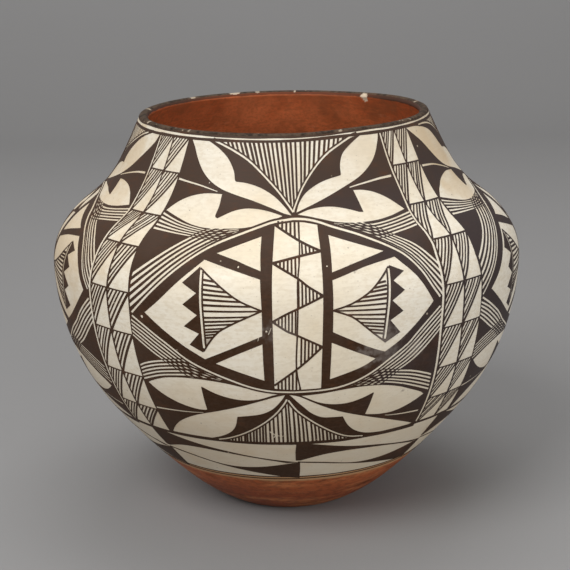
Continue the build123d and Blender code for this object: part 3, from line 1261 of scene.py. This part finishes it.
bare_scratches = [
    (smooth((-4.5, 93.6), (-3.3, 91.2), (-1.7, 89.6), (-0.4, 90)), 1.1, 0.5),
    (smooth((-3.5, 88), (-2.5, 93.4)), 0.8, 0.4),
    (smooth((-3.9, 166.5), (-3.3, 171)), 0.5, 0.3),
    (smooth((-6.2, 162), (-5.7, 168)), 0.4, 0.3),
]
bare_spots = [(-33.6, 170.7, 0.95), (-11.0, 206.4, 0.6), (9.2, 207, 0.5), (-4.3, 168.6, 0.7),
    (23.4, 158.5, 0.6), (-25.4, 250.2, 0.45), (-45.2, 262, 0.45), (29.5, 148, 0.5),
    (-8, 244.5, 0.4), (13.5, 163, 0.45)]
for line, start, end in bare_scratches:
    add_shape("bare", stripe(line, start, end), straightened)
for number, (angle, height, reach) in enumerate(bare_spots):
    add_shape("bare", ragged_spot(angle, height, reach, 60 + number), straightened)
hand = random.Random(5)
for number in range(thrown_spots):
    angle, height = hand.uniform(80, 280), hand.uniform(60, 272)
    angle = (angle + 180) % 360 - 180
    spot = ragged_spot(angle, height, hand.choice([0.35, 0.45, 0.5, 0.8]), 90 + number)
    add_shape("bare", spot, as_given)
print("bare spots and scratches:", len(bare_spots) + len(bare_scratches) + thrown_spots)

# %% [markdown]
# Now the paper is cut. Blender's constrained triangulation takes all outlines at once, splits
# them where they cross, and says for each triangle which shapes cover it. The coats are then
# read in the painter's order: a coat takes hold where the triangle lies in all the shapes that
# it names, and later coats cover earlier ones. Lines of a grid keep the triangles small enough
# to bend round the jar.

# %% Cut the drawing into triangles
coats = [
    ("dark", {"ground"}),
    ("white", {"white"}),
    ("white", {"steep line"}),
    ("white", {"flat line"}),
    ("dark", {"steep field", "flat field"}),
    ("white", {"steep line", "flat line", "steep field", "flat field"}),
    ("white", {"hatched field"}),
    ("dark", {"hatched field", "field stroke"}),
    ("dark", {"dark line"}),
    ("white", {"white line"}),
    ("dark", {"over line"}),
    ("white", {"top white"}),
    ("white", {"box"}),
    ("dark", {"box", "box stroke"}),
    ("dark", {"border"}),
    ("dark", {"ring"}),
]
for tag in ("corner " + str(number) for number in range(len(hatched_corners))):
    coats.append(("dark", {tag, tag + " stroke"}))
coats.append(("white", {"bare"}))
grid_angle = 2.0
grid_rise = 3.0
drawing_low = 43.0
drawing_high = 279.4
whole_triangles = 0
closeness = 1e-4


def wrap_ready(point):
    """A drawing point as the triangulation wants it, with both directions in millimetres."""
    return Vector((point.x * degree_length, point.y))


def area_of(points):
    """Twice the signed area of an outline."""
    return sum(a.x * b.y - b.x * a.y for a, b in zip(points, points[1:] + points[:1]))


def cut_drawing():
    """The corners and the dark triangles of the whole drawing."""
    corners, edges, faces, tags = [], [], [], []

    def add_face(tag, points):
        """Takes in a tagged outline, turned so that it runs anticlockwise."""
        flat = [wrap_ready(point) for point in points]
        if area_of(flat) < 0:
            flat.reverse()
        first = len(corners)
        corners.extend(flat)
        faces.append(list(range(first, first + len(flat))))
        tags.append(tag)

    sheet = [(-180, drawing_low), (180, drawing_low), (180, drawing_high), (-180, drawing_high)]
    add_face("sheet", [Vector(p) for p in sheet])
    for tag, points in drawing:
        add_face(tag, points)
    rulers = [((a, drawing_low), (a, drawing_high)) for a in np.arange(-180, 180.1, grid_angle)]
    rulers += [((-180, h), (180, h)) for h in np.arange(drawing_low, drawing_high, grid_rise)]
    for start, end in rulers:
        first = len(corners)
        corners.extend([wrap_ready(Vector(start)), wrap_ready(Vector(end))])
        edges.append((first, first + 1))
    cut = delaunay_2d_cdt(corners, edges, faces, whole_triangles, closeness, True)
    cut_corners, triangles, sources = cut[0], cut[2], cut[5]
    dark = []
    for triangle, source in zip(triangles, sources):
        covered = {tags[i] for i in source}
        if "sheet" not in covered:
            continue
        colour = "white"
        for coat, needed in coats:
            if needed <= covered:
                colour = coat
        if colour == "dark":
            dark.append(triangle)
    return cut_corners, dark


flat_corners, dark_triangles = cut_drawing()
print("drawing cut into", len(dark_triangles), "dark triangles")

# %% [markdown]
# The dark triangles are wrapped round the jar a hair above the white slip. The Solidify modifier
# gives the paint its thickness, so each line has a true edge that stays crisp close up.

# %% Wrap the paint round the jar
paint_lift = 0.16
paint_thickness = 0.22


def wrapped_paint(name, corners, triangles):
    """A mesh of the triangles on the jar, with its map."""
    used = sorted({corner for triangle in triangles for corner in triangle})
    order = {corner: place for place, corner in enumerate(used)}
    points, places = [], []
    for corner in used:
        angle, height = corners[corner].x / degree_length, corners[corner].y
        points.append(on_wall(angle, height, coat_thickness + paint_lift))
        places.append((angle / 360 + 0.5, length_at(height) / wall_lengths[-1]))
    mesh = bpy.data.meshes.new(name)
    faces = [[order[corner] for corner in triangle] for triangle in triangles]
    mesh.from_pydata(points, [], faces)
    surface_map = mesh.uv_layers.new(name="OFBake")
    for corner, loop in zip(surface_map.data, mesh.loops):
        corner.uv = places[loop.vertex_index]
    return mesh


paint_mesh = wrapped_paint("brown_black_ornament", flat_corners, dark_triangles)
ornament = finish_piece("brown_black_ornament", paint_mesh, "black_rim_paint")
thickness = ornament.modifiers.new("paint thickness", "SOLIDIFY")
thickness.thickness = paint_thickness * mm
thickness.offset = -1
bpy.context.view_layer.update()
with_thickness = ornament.evaluated_get(bpy.context.evaluated_depsgraph_get())
thick_mesh = bpy.data.meshes.new_from_object(with_thickness)
ornament.modifiers.clear()
ornament.data = thick_mesh
thick_mesh.name = "brown_black_ornament_thick"
thick_mesh.shade_smooth()
thick_mesh.set_sharp_from_angle(angle=crease_angle)
print("ornament with thickness:", len(thick_mesh.polygons), "faces")

# %% [markdown]
# Finishes. Slip and paint are earth colours laid on with a chewed yucca brush and rubbed with a
# smooth stone, so they are never even. The effects that several finishes share are node groups,
# built once and placed in each material with its own numbers. All of them read the place on the
# jar itself, in metres, so nothing slides when the view changes.

# %% Helpers for nodes and groups
def put(tree, kind, sockets=None, **settings):
    """Adds a node; each of its sockets takes a plain value or another node's output."""
    new = tree.nodes.new("ShaderNode" + kind)
    for setting, value in settings.items():
        setattr(new, setting, value)
    for socket, value in (sockets or {}).items():
        if isinstance(value, bpy.types.NodeSocket):
            tree.links.new(value, new.inputs[socket])
        else:
            new.inputs[socket].default_value = value
    return new


def maths(tree, operation, first, second):
    """One sum with two numbers or outputs."""
    return put(tree, "Math", {0: first, 1: second}, operation=operation).outputs[0]


def noisy(tree, place, per_metre, detail, **more):
    """A noise between 0 and 1 that is read at a place."""
    sockets = {"Vector": place, "Scale": per_metre, "Detail": detail, **more}
    return put(tree, "TexNoise", sockets).outputs[0]


def faded(tree, value, zero_at, full_at):
    """A share that goes softly from 0 to 1 between two values."""
    sockets = {0: value, 1: zero_at, 2: full_at}
    return put(tree, "MapRange", sockets, interpolation_type="SMOOTHSTEP").outputs[0]


def new_effect(name, inputs, output="Mask"):
    """A node group with named numbers going in: its tree, those numbers and the jar's place."""
    tree = bpy.data.node_groups.new(name, "ShaderNodeTree")
    for label, value in inputs.items():
        kind = "NodeSocketVector" if isinstance(value, tuple) else "NodeSocketFloat"
        tree.interface.new_socket(label, in_out="INPUT", socket_type=kind).default_value = value
    tree.interface.new_socket(output, in_out="OUTPUT", socket_type="NodeSocketFloat")
    given = tree.nodes.new("NodeGroupInput").outputs
    return tree, given, put(tree, "TexCoord").outputs["Object"]


def hand_out(tree, value):
    """Joins the value that a node group has worked out to its only output."""
    tree.links.new(value, tree.nodes.new("NodeGroupOutput").inputs[0])
    print("effect", tree.name, "has", len(tree.nodes), "nodes")


# %% Clouds, or streaks round the jar where they are flattened
clouds, given, place = new_effect(
    "clouds", {"Per Metre": 12.0, "Flatten": 1.0, "Start": 0.45, "Full": 0.7, "Shift": 0.0}
)
squeeze = put(clouds, "CombineXYZ", {0: 1.0, 1: 1.0, 2: given["Flatten"]}).outputs[0]
squeezed = put(clouds, "VectorMath", {0: place, 1: squeeze}, operation="MULTIPLY").outputs[0]
shifted = put(clouds, "VectorMath", {0: squeezed, 1: given["Shift"]}, operation="ADD").outputs[0]
tone = noisy(clouds, shifted, given["Per Metre"], 5.0, Roughness=0.6)
hand_out(clouds, faded(clouds, tone, given["Start"], given["Full"]))

# %% A share by height, with a wavering edge
by_height, given, place = new_effect(
    "share by height", {"Zero At": 0.0, "Full At": 0.1, "Waver": 0.004, "Per Metre": 40.0}
)
height = put(by_height, "SeparateXYZ", {0: place}).outputs[2]
wave = maths(by_height, "SUBTRACT", noisy(by_height, place, given["Per Metre"], 4.0), 0.5)
level = maths(by_height, "ADD", height, maths(by_height, "MULTIPLY", wave, given["Waver"]))
hand_out(by_height, faded(by_height, level, given["Zero At"], given["Full At"]))

# %% A rubbed or stained place with a ragged edge
raggedness = 1.6
solid_share = 0.25

rubbed_place, given, place = new_effect(
    "rubbed place", {"Place": (0.0, 0.0, 0.0), "Reach": 0.01, "Per Metre": 180.0}
)
away = put(rubbed_place, "VectorMath", {0: place, 1: given["Place"]}, operation="DISTANCE")
wave = maths(rubbed_place, "SUBTRACT", noisy(rubbed_place, place, given["Per Metre"], 4.0), 0.5)
share = maths(rubbed_place, "DIVIDE", away.outputs["Value"], given["Reach"])
share = maths(rubbed_place, "ADD", share, maths(rubbed_place, "MULTIPLY", wave, raggedness))
hand_out(rubbed_place, faded(rubbed_place, share, 1.0, solid_share))

# %% Specks: small grains and pits, few or many
speck_middle = 0.6

specks, given, place = new_effect("specks", {"Per Metre": 200.0, "Share": 0.05, "Reach": 0.2})
spread = put(specks, "TexVoronoi", {"Vector": place, "Scale": given["Per Metre"]}).outputs
chosen = put(specks, "SeparateColor", {0: spread["Color"]}).outputs[0]
kept = maths(specks, "LESS_THAN", chosen, given["Share"])
full_at = maths(specks, "MULTIPLY", given["Reach"], speck_middle)
edges = {0: spread["Distance"], 1: given["Reach"], 2: full_at}
hand_out(specks, maths(specks, "MULTIPLY", kept, put(specks, "MapRange", edges).outputs[0]))

# %% The feel of the surface: sand in the clay under the marks of the rubbing stone
rub_flatten = (1.0, 1.0, 7.0)
grit_numbers = {"Grit Per Metre": 1500.0, "Grit": 0.3, "Rub Per Metre": 60.0, "Rub": 0.7}

rubbed_grit, given, place = new_effect("rubbed grit", grit_numbers, "Height")
grit = noisy(rubbed_grit, place, given["Grit Per Metre"], 3.0)
along = put(rubbed_grit, "VectorMath", {0: place, 1: rub_flatten}, operation="MULTIPLY").outputs[0]
rub = noisy(rubbed_grit, along, given["Rub Per Metre"], 2.0)
grit = maths(rubbed_grit, "MULTIPLY", grit, given["Grit"])
rub = maths(rubbed_grit, "MULTIPLY", rub, given["Rub"])
hand_out(rubbed_grit, maths(rubbed_grit, "ADD", grit, rub))

# %% [markdown]
# A finish starts as one colour, and other colours are laid over it one by one, each where an
# effect puts it and for at most a given share. Then the roughness and the feel of the surface
# are joined on, and the pieces wear it. A small class keeps these steps short to write.


# %% A finish in the making
class Finish:
    """A material, its nodes, and the colour that has been laid on so far."""

    def __init__(self, name, shine, colour):
        self.material = bpy.data.materials.new(name)
        self.material.use_nodes = True
        self.tree = self.material.node_tree
        self.tree.nodes.clear()
        output = self.tree.nodes.new("ShaderNodeOutputMaterial")
        self.shader = self.tree.nodes.new("ShaderNodeBsdfPrincipled")
        self.tree.links.new(self.shader.outputs["BSDF"], output.inputs["Surface"])
        self.shader.inputs["Specular IOR Level"].default_value = shine
        self.colour = colour

    def effect(self, group, *numbers):
        """Places a shared effect and gives it its numbers, in the order of its sockets."""
        return put(self.tree, "Group", dict(enumerate(numbers)), node_tree=group).outputs[0]

    def clouds(self, per_metre, start, full, flatten=1.0, shift=0.0):
        """Soft patches, or streaks."""
        return self.effect(clouds, per_metre, flatten, start, full, shift)

    def by_height(self, zero_at, full_at, waver, per_metre):
        """A share that grows from one height to the other."""
        return self.effect(by_height, zero_at, full_at, waver, per_metre)

    def spot(self, place, reach, per_metre):
        """A ragged spot round a place."""
        return self.effect(rubbed_place, place, reach, per_metre)

    def specks(self, per_metre, share, reach):
        """Grains or pits."""
        return self.effect(specks, per_metre, share, reach)

    def mixed(self, share, first, second):
        """A colour between two colours."""
        return put(self.tree, "Mix", {0: share, 6: first, 7: second}, data_type="RGBA").outputs[2]

    def lay(self, mask, most, colour, within=None):
        """Lays a colour on where the mask is, for at most that share, and gives back the mask."""
        share = maths(self.tree, "MULTIPLY", mask, most)
        if within is not None:
            share = maths(self.tree, "MULTIPLY", within, share)
        self.colour = self.mixed(share, self.colour, colour)
        return mask

    def feel(self, depth, strength, grit, rub, grit_per_metre=1500.0, rub_per_metre=60.0):
        """Joins the feel of the surface to the shader; depth is in millimetres."""
        height = self.effect(rubbed_grit, grit_per_metre, grit, rub_per_metre, rub)
        sockets = {"Strength": strength, "Distance": depth * mm, "Height": height}
        bump = put(self.tree, "Bump", sockets)
        self.tree.links.new(bump.outputs[0], self.shader.inputs["Normal"])

    def wear(self, pieces, low_rough, high_rough, dullness):
        """Joins the colour and a roughness between two values, and dresses the pieces."""
        self.tree.links.new(self.colour, self.shader.inputs["Base Color"])
        rough = put(self.tree, "MapRange", {0: dullness, 3: low_rough, 4: high_rough}).outputs[0]
        self.tree.links.new(rough, self.shader.inputs["Roughness"])
        for piece in pieces:
            piece.data.materials.clear()
            piece.data.materials.append(self.material)
            print(piece.name, "wears", self.material.name)


def on_slip(angle, height):
    """The place of a mark that was seen at that angle and height."""
    seen = straightened((angle, height))
    return on_wall(seen.x, seen.y, coat_thickness)


# %% [markdown]
# White slip. It is a fine pale clay, rubbed to a soft sheen while damp. Iron in the clay stains
# it tan in clouds, most of all on the neck and low down where hands reach it; towards the foot
# the slip is also darkened with painted shade; the stone leaves faint streaks round the jar; and
# single grains of sand show as small dark specks.

# %% White slip
slip_white = (0.86, 0.795, 0.67, 1)
slip_cream = (0.81, 0.70, 0.52, 1)
slip_tan = (0.66, 0.50, 0.31, 1)
slip_streak = (0.70, 0.60, 0.45, 1)
slip_foot_shade = (0.665, 0.56, 0.415, 1)
slip_grain = (0.27, 0.21, 0.16, 1)
tan_stains = [
    (64, 262, 0.032, 0.75), (70, 235, 0.03, 0.5), (-66, 255, 0.032, 0.45), (-33, 92, 0.012, 0.5),
    (-68, 215, 0.085, 0.5), (-74, 175, 0.07, 0.4), (-60, 130, 0.07, 0.15), (-22, 90, 0.055, 0.2),
    (-8, 68, 0.045, 0.15),
]
dark_knocks = [(-17.5, 159.5, 0.0035), (29, 119.5, 0.0018), (15.5, 205.5, 0.004)]

finish = Finish("burnished_white_slip", 0.32, slip_white)
finish.lay(finish.clouds(9.0, 0.42, 0.72), 1.0, slip_cream)
on_neck = finish.by_height(0.215, 0.262, 0.03, 14.0)
finish.lay(finish.clouds(30.0, 0.4, 0.68, shift=3.0), 0.36, slip_tan, within=on_neck)
# Towards the foot the slip is darkened with painted shade.
low_down = finish.lay(finish.by_height(0.17, 0.06, 0.03, 14.0), 0.6, slip_foot_shade)
low_stains = finish.clouds(46.0, 0.44, 0.7, flatten=2.2, shift=11.0)
finish.lay(low_stains, 0.42, slip_tan, within=low_down)
finish.lay(finish.clouds(70.0, 0.5, 0.75, shift=7.0), 0.22, slip_tan)
streaks = finish.lay(finish.clouds(30.0, 0.42, 0.7, flatten=18.0), 0.36, slip_streak)
finish.lay(finish.clouds(230.0, 0.44, 0.64, flatten=2.0, shift=2.0), 0.52, slip_streak)
for angle, height, reach, most in tan_stains:
    finish.lay(finish.spot(on_slip(angle, height), reach, 60.0), most, slip_tan)
for angle, height, reach in dark_knocks:
    finish.lay(finish.spot(on_slip(angle, height), reach, 400.0), 0.65, slip_grain)
for per_metre, share, reach, most in ((260.0, 0.035, 0.16, 0.7), (480.0, 0.16, 0.24, 0.3)):
    finish.lay(finish.specks(per_metre, share, reach), most, slip_grain)
finish.feel(0.12, 0.35, grit=0.25, rub=0.75)
finish.wear([white_slip], 0.4, 0.56, streaks)

# %% [markdown]
# Brown-black paint. It is boiled plant juice with ground iron stone. Where the brush carried
# little it dried thin and reddish brown, where it was rubbed it turned grey, towards the neck it
# is lighter with a painted sheen where it faces the lamps, on the right it is cooler, and grains
# that fell out left pale pinholes.

# %% Brown-black paint
paint_black = (0.043, 0.0205, 0.0095, 1)
paint_thin = (0.105, 0.045, 0.022, 1)
paint_dry = (0.072, 0.043, 0.029, 1)
paint_sheen_tone = (0.088, 0.062, 0.050, 1)
paint_cool = (0.048, 0.040, 0.042, 1)
paint_rubbed = (0.24, 0.205, 0.18, 1)
paint_pinhole = (0.52, 0.43, 0.32, 1)
rubbed_marks = [
    (21.5, 157, 0.017, 0.55), (17, 147, 0.010, 0.4), (-1.2, 168, 0.012, 0.35),
    (30, 150, 0.008, 0.5), (-7, 170, 0.009, 0.5),
]

finish = Finish("brown_black_paint", 0.08, paint_black)
dry = finish.lay(finish.clouds(16.0, 0.42, 0.7, shift=2.0), 0.7, paint_dry)
# Towards the neck the paint is lighter: a painted sheen where it faces the lamps.
finish.lay(finish.by_height(0.165, 0.25, 0.03, 14.0), 0.5, paint_sheen_tone)
finish.lay(finish.clouds(60.0, 0.52, 0.78, flatten=1.6, shift=5.0), 0.75, paint_thin)
finish.lay(finish.clouds(130.0, 0.45, 0.8, flatten=5.0), 0.3, paint_thin)
finish.lay(finish.clouds(420.0, 0.4, 0.68, flatten=1.5, shift=9.0), 0.42, paint_dry)
finish.lay(finish.spot(on_slip(58, 180), 0.15, 20.0), 0.7, paint_cool)
for angle, height, reach, most in rubbed_marks:
    finish.lay(finish.spot(on_slip(angle, height), reach, 260.0), most, paint_rubbed)
finish.lay(finish.specks(170.0, 0.05, 0.14), 0.75, paint_pinhole)
finish.feel(0.10, 0.3, grit=0.4, rub=0.6)
finish.wear([ornament], 0.46, 0.62, dry)

# %% [markdown]
# Red slip on the underbody. It is the same iron clay as inside the mouth, brushed on under the
# last line. Its top edge lies thin over the white and looks like ochre; below, the strokes
# overlap in rust and orange, with dark smudges from the fire and from the ground.

# %% Red slip on the underbody
rust = (0.45, 0.118, 0.037, 1)
rust_deep = (0.30, 0.072, 0.025, 1)
rust_light = (0.57, 0.205, 0.075, 1)
ochre_edge = (0.54, 0.315, 0.155, 1)
smoke_smudge = (0.07, 0.03, 0.016, 1)

finish = Finish("rubbed_red_slip", 0.08, rust)
finish.lay(finish.by_height(0.042, 0.018, 0.012, 22.0), 1.0, rust_deep)
finish.lay(finish.clouds(20.0, 0.44, 0.68, flatten=6.0), 0.8, rust_light)
smudges = finish.clouds(30.0, 0.5, 0.74, flatten=3.0, shift=4.0)
finish.lay(smudges, 0.65, smoke_smudge)
finish.lay(finish.clouds(200.0, 0.44, 0.62, flatten=2.0, shift=2.0), 0.4, smoke_smudge)
finish.lay(finish.by_height(0.0405, 0.0428, 0.0035, 70.0), 0.9, ochre_edge)
finish.lay(finish.specks(220.0, 0.05, 0.15), 0.5, ochre_edge)
finish.feel(0.14, 0.4, grit=0.35, rub=0.65)
finish.wear([red_base], 0.42, 0.6, smudges)

# %% [markdown]
# Red wash inside the mouth. It was put on with wide strokes of a rag or brush that ran round and
# down the throat. Water and dippers have rubbed it, so it is bright orange in some places and
# brown in others. High on the back of the throat, where the lamps shine in, patches of painted
# light brighten it. On the crest of the lip it is smeared with black in front, and behind it is
# darkened to a deep red with painted shade.

# %% Red wash inside the mouth
wash_red = (0.46, 0.105, 0.036, 1)
wash_orange = (0.66, 0.175, 0.060, 1)
wash_brown = (0.27, 0.088, 0.036, 1)
wash_pale = (0.62, 0.30, 0.16, 1)
wash_painted_light = (0.80, 0.225, 0.085, 1)
wash_shadow = (0.115, 0.032, 0.014, 1)
smeared_black = (0.036, 0.027, 0.021, 1)
chip_clay = (0.66, 0.54, 0.40, 1)
painted_light_patches = [
    (195, 262, 0.045, 0.42), (222, 262, 0.03, 0.2), (172, 262, 0.03, 0.32),
    (150, 268, 0.016, 0.3), (193, 264, 0.012, 0.45),
]
behind_from, behind_full = 0.06, 0.095

finish = Finish("brushed_red_wash", 0.1, wash_red)
finish.lay(finish.by_height(0.274, 0.246, 0.03, 20.0), 1.0, wash_orange)
brown = finish.lay(finish.clouds(26.0, 0.45, 0.72, flatten=1.8, shift=1.0), 0.7, wash_brown)
finish.lay(finish.clouds(34.0, 0.48, 0.75, flatten=10.0, shift=6.0), 0.5, wash_orange)
finish.lay(finish.clouds(60.0, 0.6, 0.8, flatten=3.0, shift=9.0), 0.5, wash_pale)
finish.lay(finish.clouds(190.0, 0.42, 0.66, flatten=2.6, shift=2.0), 0.6, wash_brown)
# Patches of painted light high on the back of the throat, where the lamps shine in.
for angle, height, reach, most in painted_light_patches:
    inside_wall = on_wall(angle, height, -wall_thickness - coat_thickness)
    finish.lay(finish.spot(inside_wall, reach, 90.0), most, wash_painted_light)
finish.lay(finish.clouds(420.0, 0.42, 0.66, flatten=1.4, shift=3.0), 0.35, wash_brown)
place = put(finish.tree, "TexCoord").outputs["Object"]
backwards = put(finish.tree, "SeparateXYZ", {0: place}).outputs[1]
behind = put(finish.tree, "MapRange", {0: backwards, 1: behind_from, 2: behind_full}).outputs[0]
# The lip's inner edge: black smeared over it in front, painted shade of deep red behind.
lip_smear_and_shade = finish.mixed(behind, smeared_black, wash_shadow)
finish.lay(finish.by_height(0.2781, 0.279, 0.0014, 120.0), 0.9, lip_smear_and_shade)
finish.lay(put(finish.tree, "Attribute", attribute_name="chipped").outputs["Fac"], 1.0, chip_clay)
finish.feel(0.16, 0.4, grit=0.35, rub=0.65)
finish.wear([red_mouth], 0.45, 0.62, brown)

# %% [markdown]
# Worn lip. Black paint over the edge of the pot is what hands and lids touch first. It is thin
# and grey-brown, rubbed to reddish clay along the crest, and chips show the pale clay inside.

# %% Worn lip paint
lip_black = (0.034, 0.024, 0.018, 1)
lip_grey = (0.12, 0.082, 0.056, 1)
lip_reddish = (0.17, 0.078, 0.045, 1)
lip_fleck = (0.50, 0.38, 0.27, 1)

finish = Finish("worn_lip_paint", 0.04, lip_black)
grey = finish.lay(finish.clouds(110.0, 0.42, 0.72), 0.85, lip_grey)
finish.lay(finish.clouds(45.0, 0.5, 0.72, shift=5.0), 0.6, lip_reddish)
finish.lay(finish.clouds(330.0, 0.42, 0.62, shift=1.0), 0.65, lip_grey)
finish.lay(finish.specks(420.0, 0.07, 0.3), 0.75, lip_fleck)
finish.lay(put(finish.tree, "Attribute", attribute_name="chipped").outputs["Fac"], 1.0, chip_clay)
finish.feel(0.2, 0.6, grit=0.6, rub=0.4, grit_per_metre=900.0)
finish.wear([black_lip], 0.5, 0.75, grey)

# %% [markdown]
# Bare clay. Inside the jar and under its foot the fired clay shows: warm buff with sand in it,
# the scraper's marks running round, grey clouds from the fire, and a foot darkened by use. The
# coils keep their CAD meshes and only get this finish.

# %% Bare clay of the coils and the pressed base
clay_buff = (0.46, 0.32, 0.205, 1)
clay_warm = (0.50, 0.29, 0.16, 1)
clay_smoked = (0.17, 0.13, 0.10, 1)
clay_sand = (0.64, 0.53, 0.40, 1)
clay_names = ["pressed_base", "lip_coil"] + ["wall_coil_" + str(coil) for coil in range(1, 6)]

finish = Finish("scraped_fired_clay", 0.25, clay_buff)
warm = finish.lay(finish.clouds(14.0, 0.4, 0.7), 1.0, clay_warm)
finish.lay(finish.clouds(30.0, 0.45, 0.75, flatten=12.0, shift=2.0), 0.35, clay_sand)
finish.lay(finish.clouds(10.0, 0.52, 0.75, shift=8.0), 0.55, clay_smoked)
finish.lay(finish.by_height(0.006, 0.0, 0.006, 90.0), 0.45, clay_smoked)
finish.lay(finish.specks(240.0, 0.16, 0.17), 0.6, clay_sand)
finish.feel(0.3, 0.55, grit=0.5, rub=0.5, grit_per_metre=800.0)
finish.wear([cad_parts[name] for name in clay_names], 0.7, 0.88, warm)

# %% [markdown]
# The studio paper is plain, but no paper is one flat tone: soft clouds and a fine tooth keep it
# from looking like plastic. It is a little darker on the floor and paler up the backdrop.

# %% Paper of the floor and the backdrop
paper_tone = (0.43, 0.425, 0.425, 1)
paper_low = (0.29, 0.285, 0.283, 1)
paper_shade = (0.33, 0.325, 0.325, 1)

finish = Finish("pale_paper", 0.2, paper_low)
finish.lay(finish.by_height(0.0, 0.9, 0.05, 1.5), 1.0, paper_tone)
soft = finish.lay(finish.clouds(1.2, 0.4, 0.7), 0.2, paper_shade)
finish.lay(finish.clouds(900.0, 0.4, 0.7), 0.25, paper_shade)
finish.feel(0.05, 0.2, grit=0.8, rub=0.2)
finish.wear([floor], 0.85, 0.95, soft)

# %% Bring the scene up to date
bpy.context.view_layer.update()
